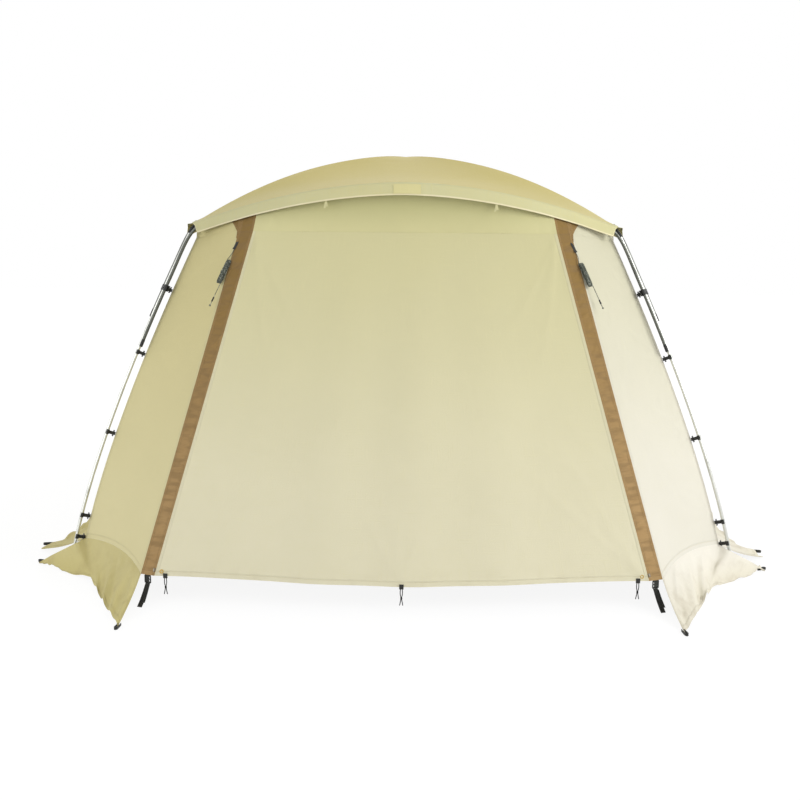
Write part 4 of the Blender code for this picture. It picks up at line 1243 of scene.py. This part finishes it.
def make_skirts():
    for side, end, name in each_strip():
        hem = ring_part(rings, ring_place(side, end, DOOR_END + 1, 0), PANEL_COLUMNS)[0][::end]
        corner = CORNERS.index(name)
        free = [hem[-1] * (1, 1, 0) + at_corner(x, y, z, corner) for x, y, z in SKIRT_FREE]
        ground = spread([at_corner(x, y, 0, corner) for x, y in SKIRT_GROUND], len(hem) + FREE_COLUMNS)
        hem = np.array([*hem, *spread([hem[-1], *free], FREE_COLUMNS + 1)[1:]])
        seed = 91 + 2 * side + (end == 1)
        skirt(f"{name}_skirt", hem[::end], ground[::end], f"{name}_corner_skirt", seed)
    for start, hand in SIDE_STARTS:
        hem = ring_part(rings, start, SIDE_COLUMNS)[0]
        acrosses = np.linspace(-1, 1, SIDE_COLUMNS + 1)
        reach = SIDE_SKIRT_REACH - SIDE_SKIRT_DRAW * np.sin(np.pi * acrosses) ** 2
        reach *= 1 if hand == "right" else -1
        lengths = SIDE_SKIRT_SHARE ** (acrosses**4)
        ground = np.stack([reach, hem[:, 1] * lengths, 0 * reach], axis=1)
        skirt(f"{hand}_side_skirt", hem, ground, f"{hand}_side_skirt", 97 + len(hand))


def spread(points, count):
    """As many points as asked, evenly apart along a line through the given ones."""
    run = run_along(points)
    return sampled(np.linspace(0, run[-1], count), run, points)


make_doors()
make_headers()
make_strips()
make_gussets()
make_panels()
make_sides()
make_roof()
make_skirts()


# Poles and clips


def sweep(name, points, radii, look, sides):
    """A tube along a line, with its own radius at each point, on frames that don't twist."""
    points = np.asarray(points, float)
    radii = np.full(len(points), radii) if np.isscalar(radii) else np.asarray(radii)
    ways = np.gradient(points, axis=0)
    ways /= np.linalg.norm(ways, axis=1)[:, None]
    upright = abs(ways[0][2]) < 0.9
    side = unit(np.cross(ways[0], (0.0, 0.0, 1.0) if upright else (1.0, 0.0, 0.0)))
    corners = []
    for point, way, radius in zip(points, ways, radii):
        side = unit(side - way * (side @ way))
        other = np.cross(way, side)
        for i in range(sides):
            a = 2 * math.pi * i / sides
            corners.append(point + radius * (math.cos(a) * side + math.sin(a) * other))
    last = (len(points) - 1) * sides
    faces = [tuple(reversed(range(sides))), tuple(range(last, last + sides))]
    for start in range(0, last, sides):
        for i in range(sides):
            j = (i + 1) % sides
            faces.append((start + i, start + j, start + sides + j, start + sides + i))
    return mesh_piece(name, corners, faces, look)


def rectangle(left, right, low, high):
    return [(left, low), (right, low), (right, high), (left, high)]


def in_mm(points):
    return [tuple(c * MM for c in point) for point in points]


def profile(name, outline, height, axes, centre, look, soft=0.6 * MM):
    """A flat outline in the plane of the first two axes, drawn out along the third, with softened edges."""
    count = len(outline)
    ends = [level * axes[2] for level in (-height / 2, height / 2)]
    points = [centre + a * axes[0] + b * axes[1] + end for end in ends for a, b in outline]
    faces = [tuple(range(count)), tuple(reversed(range(count, 2 * count)))]
    for i in range(count):
        j = (i + 1) % count
        faces.append((i, count + i, count + j, j))
    made = mesh_piece(name, points, faces, look)
    edges = made.modifiers.new("edges", "BEVEL")
    edges.width = soft
    edges.segments = 2
    edges.limit_method = "ANGLE"
    edges.harden_normals = True
    return made


def grip(centre, hole, wall, mouth):
    """The outline of a ring that snaps on to a pole; mouth is the angle left open on its outer side."""
    angles = np.linspace(mouth / 2, 2 * math.pi - mouth / 2, 25) - math.pi / 2
    ways = [np.array((math.cos(a), math.sin(a))) for a in angles]
    outer = [np.array(centre) + (hole + wall) * way for way in ways]
    return [*outer, *(np.array(centre) + hole * way for way in reversed(ways))]


def joined(name, parts):
    """Several meshes made one piece, with their modifiers applied."""
    reach = bpy.context.evaluated_depsgraph_get()
    shape = bmesh.new()
    for part in parts:
        data = bpy.data.meshes.new_from_object(part.evaluated_get(reach))
        shape.from_mesh(data)
        bpy.data.meshes.remove(data)
    data = bpy.data.meshes.new(name)
    shape.to_mesh(data)
    shape.free()
    data.materials.append(parts[0].data.materials[0])
    for part in parts:
        bpy.data.objects.remove(part)
    return placed(name, data)


def make_legs():
    for corner, where in enumerate(CORNERS):
        heights = np.linspace(FOOT_HEIGHT - 6 * MM, SHOULDER_HEIGHT - ELBOW_LENGTH / 2, 60)
        # Each section's swaged end is a little thinner and slides into the one below it.
        radii = [POLE_RADIUS - (SWAGE if z % SECTION < SWAGE_LENGTH else 0) for z in heights]
        line = [leg_point(corner, z) for z in heights]
        leg = sweep(f"{where}_leg_tube", line, radii, looks["steel"], TUBE_SIDES)
        finish_piece(leg, "tent", [f"{where}_leg_pole"])
        clips = [
            small_clip(f"{where}_clip_{number}", corner, share * SHOULDER_HEIGHT)
            for number, share in enumerate((WIDE_CLIP_SHARE, *CLIP_SHARES))
        ]
        clips.append(wide_clip(f"{where}_wide_clip", corner))
        clips.append(small_clip(f"{where}_skirt_clip", corner, SKIRT_CLIP_HEIGHT))
        for clip in clips:
            finish_piece(clip, "tent")
        foot = [leg_point(corner, share * FOOT_HEIGHT) for share, _ in FOOT_RINGS]
        widths = np.array([share for _, share in FOOT_RINGS]) * FOOT_RADIUS
        cap = sweep(f"{where}_foot", foot, widths, looks["plastic"], FOOT_SIDES)
        for vertex in cap.data.vertices:
            vertex.co.z = max(vertex.co.z, 0)
        finish_piece(cap, "tent", [f"{where}_foot_cap"])


def small_clip(name, corner, height):
    """A snap-on ring with a finger that reaches in to a loop of tape on the cloth."""
    centre, axes = clip_axes(corner, height)
    tip = (CORNER_INSET * math.hypot(*axes[1][:2]) - CLIP_EASE) / MM
    arm = in_mm([(-6, 9), (6, 9), (4, 17), (4, tip - 2), (0, tip), (-4, tip - 2), (-4, 17)])
    lip = in_mm(rectangle(-8.5, 8.5, tip - 13, tip - 9))
    ring = grip((0, 0), POLE_RADIUS, 2.6 * MM, 1.7)
    parts = []
    for line, share in ((ring, 0.72), (arm, 0.5), (lip, 1)):
        parts.append(profile("clip", line, share * CLIP_TALL, axes, centre, looks["plastic"]))
    return joined(name, parts)


def wide_clip(name, corner):
    """A bar with three open rings, which holds the leg and the ends of the two eave poles together."""
    centre, axes = clip_axes(corner, WIDE_CLIP_SHARE * SHOULDER_HEIGHT)
    wide, deep, tall = WIDE_CLIP_SIZE
    lines = [grip((shift, 0), POLE_RADIUS, 3.2 * MM, 1.3) for shift in (-TAIL_SPACING, 0, TAIL_SPACING)]
    front = POLE_RADIUS + CLIP_SEAT
    rear = front + deep
    left = [(-wide / 2, front + 1 * MM), (-wide / 2 + 2 * MM, front)]
    right = [(-x, y) for x, y in reversed(left)]
    lines.append([*left, *right, (wide / 2 - 3 * MM, rear), (-wide / 2 + 3 * MM, rear)])
    return joined(name, [profile(name, line, tall, axes, centre, looks["plastic"]) for line in lines])


def corner_bend(start, out, stop, on):
    """A smooth bend of as many points as there are collars, from one point and way to another."""
    reach = np.linalg.norm(stop - start)
    line = []
    for t in np.linspace(0, 1, len(ELBOW_COLLARS)):
        hold = (2 * t**3 - 3 * t**2 + 1) * start + (3 * t**2 - 2 * t**3) * stop
        line.append(hold + (t**3 - 2 * t**2 + t) * reach * out + (t**3 - t**2) * reach * on)
    return line


def make_roof_poles():
    end = SHOULDER_REACH - ELBOW_LENGTH / 4
    for corner, name in enumerate(("front_right_roof", "front_left_roof")):
        line = []
        for reach in np.linspace(-end, end, 121):
            height = roof_height(reach) + (crossing_rise(reach) if corner == 0 else 0)
            line.append(quarter_turned((reach, -reach, height), 3 * corner))
        radii = [POLE_RADIUS - (SWAGE if i % 20 == 10 else 0) for i in range(len(line))]
        pole = sweep(name + "_tube", line, radii, looks["steel"], TUBE_SIDES)
        finish_piece(pole, "tent", [name + "_pole"])
    for corner, where in enumerate(CORNERS):
        leg_top = leg_point(corner, SHOULDER_HEIGHT - ELBOW_LENGTH / 2)
        pole_end = quarter_turned((end, -end, roof_height(end)), corner)
        below = unit(leg_top - leg_point(corner, SHOULDER_HEIGHT - ELBOW_LENGTH))
        inside = quarter_turned((end - MM, MM - end, roof_height(end - MM)), corner)
        above = unit(inside - pole_end)
        bend = corner_bend(leg_top - below * 6 * MM, below, pole_end + above * 6 * MM, above)
        collars = np.array(ELBOW_COLLARS) * ELBOW_RADIUS
        elbow = sweep(f"{where}_elbow", bend, collars, looks["plastic"], ELBOW_SIDES)
        finish_piece(elbow, "tent", [f"{where}_shoulder_elbow"])


def make_eave_poles():
    for side, where in enumerate(SIDES):
        tail = (SIDE_TAIL_SHARE if side % 2 else FRONT_TAIL_SHARE) * SHOULDER_HEIGHT
        start = TAIL_SPACING * math.sqrt(2) / SHOULDER_REACH
        arch = [eave(u, side) for u in np.linspace(-1 + 2 * start, 1 - 2 * start, 20)]
        ends = []
        for end in (-1, 1):
            corner = (side if end == 1 else side + 3) % 4
            _, sideways = corner_axes(corner)
            heights = np.linspace(tail, SHOULDER_HEIGHT - ELBOW_LENGTH, 4)
            ends.append([leg_point(corner, z) - end * TAIL_SPACING * sideways for z in heights])
        line = smooth_line([*ends[0], *arch, *reversed(ends[1])], 2.5 * POLE_RADIUS)
        pole = sweep(f"{where}_eave_tube", line, POLE_RADIUS * 0.97, looks["rod"], ROD_SIDES)
        finish_piece(pole, "tent", [f"{where}_eave_pole"])
        for tip, hand in ((line[:3], "start"), (line[:-4:-1], "end")):
            # A black sleeve closes each end, a little wider than the tube.
            stretch = smooth_line([tip[0], tip[2]], 4 * MM)
            widths = [1.1 * POLE_RADIUS] * len(stretch)
            widths[0] = 0.8 * POLE_RADIUS
            cap = sweep(f"{where}_eave_{hand}_tip", stretch, widths, looks["plastic"], ROD_SIDES)
            finish_piece(cap, "tent")


# Straps, buckles and sliders


def ribbon(name, line, across, width, thick, look=None):
    """A flat band along a line, with a chart in metres for its ribs."""
    line = np.asarray(line, float)
    half = across * width / 2
    grid = np.stack([line - half * s for s in (1, 0.5, 0, -0.5, -1)], axis=1)
    made = cloth(name, [grid], look or looks["webbing"], thick=thick, offset=0)
    soft = made.modifiers.new("edges", "BEVEL")
    soft.width = thick * 0.3
    soft.limit_method = "ANGLE"
    return made


def ladder_buckle(name, top, axes):
    """Two rails with three bars across, leaned a little so that the webbing threads between them."""
    across, level, up = axes
    width, thick, height = BUCKLE_SIZE
    middle = top - (0, 0, height / 2)
    parts = []
    plastic = looks["plastic"]
    for s in (-1, 1):
        outside, bevel, inside = s * width / 2, s * (width / 2 - 2 * MM), s * (width / 2 - BUCKLE_BAR)
        rail = [(outside, 3 * MM - height / 2), (outside, height / 2 - 3 * MM), (bevel, height / 2)]
        rail += [(inside, height / 2), (inside, -height / 2), (bevel, -height / 2)]
        parts.append(profile("rail", rail, thick, (across, up, level), middle, plastic, 0.8 * MM))
    for row, lean in enumerate(BAR_LEANS):
        z = (1 - row) * (height - BUCKLE_BAR) / 2
        bar = rectangle(lean - thick / 2, lean + thick / 2, z - BUCKLE_BAR / 2, z + BUCKLE_BAR / 2)
        parts.append(profile("bar", bar, width - 4 * MM, (level, up, across), middle, plastic, 1.2 * MM))
    body = f"{name}_buckle"
    finish_piece(joined(f"{name}_ladder_buckle", parts), body, [body])


def threaded_webbing(name, top, axes):
    """The end of the strap that runs between a buckle's bars."""
    across, level, up = axes
    middle = top - (0, 0, BUCKLE_SIZE[2] / 2)
    line = smooth_line([middle + level * a * MM + up * b * MM for a, b in THREADED_LINE], 2 * MM)
    threaded = ribbon(f"{name}_threaded_webbing", line, across, BUCKLE_SIZE[0] - 2.4 * BUCKLE_BAR, 1.4 * MM)
    finish_piece(threaded, f"{name}_buckle")


def make_straps():
    """The buckles, and the straps and their loose ends, which bend between the ground and the buckle."""
    for side, end, name in each_strip():
        top, axes = buckle_frame(side, end)
        across, level, _ = axes
        ladder_buckle(name, top, axes)
        start = top - (0, 0, BUCKLE_SIZE[2] + GAP)
        stop = np.array((*(start + level * STRAP_RUN)[:2], 0.0))
        line = []
        for t in np.linspace(0, 1, 25):
            place = between(start, stop, t) - (0, 0, STRAP_SAG * math.sin(math.pi * t))
            place[2] = max(place[2], STRAP_THICKNESS / 2)
            line.append(place)
        bodies = ("tent", f"{name}_buckle", tuple(stop), tuple(start))
        strap = ribbon(f"{name}_hanging_strap", line, across, STRAP_WIDTH, STRAP_THICKNESS)
        grid = np.stack([np.array(line) + across * STRAP_WIDTH / 2 * s for s in (-1, 1)], axis=1)
        hang(strap, [grid], bodies, "black_webbing", "hung", [f"{name}_buckle"], [f"{name}_strap"])
        asides = np.linspace(0.6, 1.6, 18) * 5 * MM
        tail = [place + level * 3.2 * MM + across * aside for place, aside in zip(line[1:19], asides)]
        tail = ribbon(f"{name}_strap_tail", tail, across, 0.9 * STRAP_WIDTH, STRAP_THICKNESS)
        finish_piece(tail, bodies)
        threaded_webbing(name, top, axes)
        slider(name, side, end)


def slider(name, side, end):
    """A zip slider: a body waisted at its nose, in two plates, and a flat pull."""
    centre, (away, out, up) = slider_frame(side, end)
    wide, deep, tall = SLIDER_SIZE
    shell = [(a * wide, b * tall) for a, b in SLIDER_OUTLINE]
    plates = ((shell, 0.3, -0.3, 0.4), (shell, 0.3, 0.2, 0.4), (in_mm(PULL_OUTLINE), 0.2, 0.42, 0.3))
    parts = []
    for line, thick, rise, soft in plates:
        place = centre + out * deep * rise
        parts.append(profile("plate", line, deep * thick, (away, up, out), place, looks["zip"], soft * MM))
    body = f"{name}_zip_slider"
    finish_piece(joined(f"{name}_zip_puller", parts), body, [body])


# What hangs on the cords


def bead(name, centre, radius, look, turns=2.5):
    """A small overhand knot: a fat bent cord wound over itself."""
    line = []
    for t in np.linspace(0, 1, 40):
        a = 2 * math.pi * turns * t
        r = radius * (0.55 + 0.25 * math.sin(3 * math.pi * t))
        line.append(centre + np.array((r * math.cos(a), r * math.sin(a), radius * 1.5 * (t - 0.5))))
    return sweep(name, line, radius * 0.55, look, 10)


def make_cord_pieces():
    for hand, guy in guys.items():
        across, out, down = guy["axes"]
        body = f"front_{hand}_guy_runner"
        centre = guy["low"] + down * RUNNER_DROP
        line = [centre - down * share * RUNNER_SIZE[2] / 2 for share, _ in RUNNER_RINGS]
        widths = np.array([share for _, share in RUNNER_RINGS]) * RUNNER_SIZE[0] / 2
        runner = sweep(f"{body}_barrel", line, widths, looks["plastic"], TUBE_SIDES)
        finish_piece(runner, body, [body])
        knot = bead(f"guy_knot_{hand}", guy["line"][-1] - down * 3 * MM, 3.6 * MM, looks["cord"])
        line = []
        for a in np.linspace(0, 6 * math.pi, 90):
            spoke = across * math.cos(a) * 1.25 + out * math.sin(a)
            line.append(guy["middle"] + 11.0 * MM * spoke + down * 0.5 * MM * a)
        tie = sweep(f"guy_tie_{hand}", line, 1.3 * MM, looks["cord"], 8)
        for piece in (knot, tie):
            finish_piece(piece, "tent")
        tab = ribbon(f"guy_tab_{hand}", tab_line(guy["top"], out, down), across, 16 * MM, 1.6 * MM)
        finish_piece(tab, "tent")
        finish_piece(guy["piece"], "tent", [f"front_{hand}_guy_line"])
    for hand, loop in loops.items():
        knot = bead(f"door_loop_knot_{hand}", loop["knot"], 4.2 * MM, looks["elastic"], turns=1.5)
        finish_piece(knot, "front_door")
        line = [loop["top"] + point for point in in_mm(LOOP_TAB_LINE)]
        tab = ribbon(f"door_loop_tab_{hand}", smooth_line(line, 2 * MM), AHEAD_X, 20 * MM, 1.2 * MM)
        finish_piece(tab, "front_door")
        finish_piece(loop["piece"], "front_door", [f"door_{hand}_loop"])


def tab_line(top, out, down):
    """A short fold of tape from the gusset's tip round the cord's end."""
    return smooth_line([top + down * a * MM + out * b * MM for a, b in GUY_TAB_LINE], 2 * MM)


# Small trim


def make_ties(band, acrosses, outs):
    """Short cloth ties that hang from under the front band, for the rolled door."""
    for number, share in enumerate(TIE_SHARES, 1):
        point, out = (sampled([share], acrosses, rows)[0] for rows in (band[0], outs))
        for tail, (aside, drop) in enumerate(((-7, 34), (5, 26)), 1):
            steps = ((0, -6, 14), (0, -5, 0), (0.4, -3, -0.5 * drop), (1, -4, -drop))
            line = [point + out * b * MM + np.array((a * aside, 0, c)) * MM for a, b, c in steps]
            line = smooth_line(line, 3 * MM)
            tie = ribbon(f"door_tie_{number}_{tail}", line, AHEAD_X, 10 * MM, 1.2 * MM, looks["roof"])
            finish_piece(tie, "tent")


def make_patch(band, acrosses, outs):
    """A plain rectangle sewn on the middle of the front band."""
    shares = np.linspace(*PATCH_SHARES, 17)
    low, high, way = (sampled(shares, acrosses, rows) for rows in (band[0], band[-1], outs))
    grid = np.array([between(low, high, s) for s in np.linspace(0.12, 0.95, 9)])
    shaped = grid + way * PATCH_LIFT + 2 * PATCH_LIFT * normals_of(grid)
    finish_piece(cloth("front_band_patch", [shaped], looks["patch"]), "tent")


def eyelet(name, point, out, up, body):
    """A brass ring with a rolled lip, pressed through the hem."""
    side = unit(np.cross(up, out))
    points, faces = [], []
    for k in range(EYELET_STEPS):
        a = 2 * math.pi * k / EYELET_STEPS
        spoke = math.cos(a) * side + math.sin(a) * up
        place = point + EYELET_RADIUS * spoke + out * 0.6 * MM
        for b in np.arange(LIP_STEPS) * 2 * math.pi / LIP_STEPS:
            points.append(place + 2.4 * MM * math.cos(b) * spoke + 1.1 * MM * math.sin(b) * out)
        this, following = k * LIP_STEPS, (k + 1) % EYELET_STEPS * LIP_STEPS
        for i in range(LIP_STEPS):
            j = (i + 1) % LIP_STEPS
            faces.append((this + i, following + i, following + j, this + j))
    finish_piece(mesh_piece(name, points, faces, looks["brass"]), body)


def make_eyelets():
    for side, where in enumerate(ENDS):
        for across, hand in ((-0.975, "left"), (0.975, "right")):
            way = np.array((1, 1, 1) if side == 0 else (-1, -1, 1))
            places = ((across, 0.012), (across + 0.004, 0.012), (across, 0.02))
            point, beside, above = (door_point(*place) * way for place in places)
            up = unit(above - point)
            out = unit(np.cross(beside - point, up))
            eyelet(f"{where}_door_eyelet_{hand}", point + out * 0.9 * MM, out, up, f"{where}_door")


def make_peg_loops():
    """Black loops of tape at the skirts' corners, flat on the ground, for pegs."""
    spots = []
    reach = SIDE_SKIRT_REACH - 6 * MM
    for sx in (-1, 1):
        for sy in (-1, 1):
            spots.append((np.array((*SKIRT_GROUND[0], 0)) * (sx, sy, 1), (sx * 0.1, sy * 1.0, 0)))
            spots.append((np.array((*SKIRT_GROUND[-1], 0)) * (sx, sy, 1), (sx * 1.0, sy * -0.35, 0)))
            spots.append((np.array((sx * reach, sy * 0.96, 0)), (sx * 1.0, sy * 0.2, 0)))
        spots.append((np.array((sx * reach, 0, 0)), (sx * 1.0, 0.0, 0)))
    for number, (tip, way) in enumerate(spots, 1):
        way = unit(np.array(way))
        side = unit(np.cross((0, 0, 1), way))
        line = [tip + way * a * MM + side * b * MM + (0, 0, 6.5 * MM) for a, b in PEG_LOOP_LINE]
        line = smooth_line(line, 2 * MM)
        loop = ribbon(f"peg_loop_{number}", line, np.array((0, 0, 1.0)), 12 * MM, 2.4 * MM)
        finish_piece(loop, "tent")


make_legs()
make_roof_poles()
make_eave_poles()
make_straps()
make_cord_pieces()
make_eyelets()
make_peg_loops()
make_ties(*front_band)
make_patch(*front_band)


# Floor, world and lights

WORLD_LEVEL = 0.55
FLOOR_REACH = 30
FLOOR_GLOW = 1.05
FLOOR_SHARE = 0.86  # of the white near the tent that no shadow takes away
LAMP_AIM = Vector((0, 0, 0.9))
LAMP_SIZE = 4.0
LAMPS = (("key", (6.4, -4.6, 4.2), 345), ("fill", (-5.5, -5.5, 2.6), 125), ("back", (0, 6.5, 4.5), 200))


def seen_rays(tree):
    """1 for what the camera sees, also in a mirror, and 0 for what only lights."""
    rays = tree.nodes.new("ShaderNodeLightPath")
    pick = tree.nodes.new("ShaderNodeMath")
    pick.operation = "MAXIMUM"
    for kind, socket in zip(("Camera", "Glossy"), pick.inputs):
        tree.links.new(rays.outputs[f"Is {kind} Ray"], socket)
    return pick.outputs[0]


def make_floor():
    """A pale floor that keeps a soft shadow near the tent, and reads as white further off."""
    data = bpy.data.meshes.new("floor")
    corners = [(x * FLOOR_REACH, y * FLOOR_REACH, 0) for x, y in ((-1, -1), (1, -1), (1, 1), (-1, 1))]
    data.from_pydata(corners, [], [(0, 1, 2, 3)])
    floor = placed("floor", data)
    floor.location.z = -1 * MM
    look = Look("floor", Base_Color=(0.86, 0.86, 0.86), Roughness=0.9)
    away = look.node("VectorMath", {"operation": "LENGTH"}, {0: look.place()}, out=1)
    glow = look.node("Emission", {}, {"Color": (1, 1, 1), "Strength": FLOOR_GLOW})
    share = Wire(look, seen_rays(look.tree)) * (FLOOR_SHARE + (1 - FLOOR_SHARE) * away.ramp(2.4, 3.6))
    mixed = look.node("MixShader", {}, {0: share, 1: Wire(look, look.shader.outputs[0]), 2: glow})
    look.tree.links.new(mixed.socket, look.tree.nodes["Material Output"].inputs[0])
    data.materials.append(look.material)


def make_world():
    """Even light from all round, behind a white that the camera sees."""
    world = bpy.data.worlds.new("studio")
    world.use_nodes = True
    bpy.context.scene.world = world
    tree = world.node_tree
    light = tree.nodes["Background"]
    light.inputs["Color"].default_value = (1, 1, 1, 1)
    level = tree.nodes.new("ShaderNodeMapRange")
    level.inputs["To Min"].default_value = WORLD_LEVEL
    level.inputs["To Max"].default_value = 1.0
    tree.links.new(seen_rays(tree), level.inputs["Value"])
    tree.links.new(level.outputs[0], light.inputs["Strength"])


def make_lamps():
    for name, place, power in LAMPS:
        light = bpy.data.lights.new(name, "AREA")
        light.energy = power
        light.size = LAMP_SIZE
        lamp = placed(name, light)
        lamp.location = place
        lamp.rotation_euler = (LAMP_AIM - Vector(place)).to_track_quat("-Z", "Y").to_euler()


make_floor()
make_world()
make_lamps()
bpy.context.scene.view_settings.view_transform = "Standard"
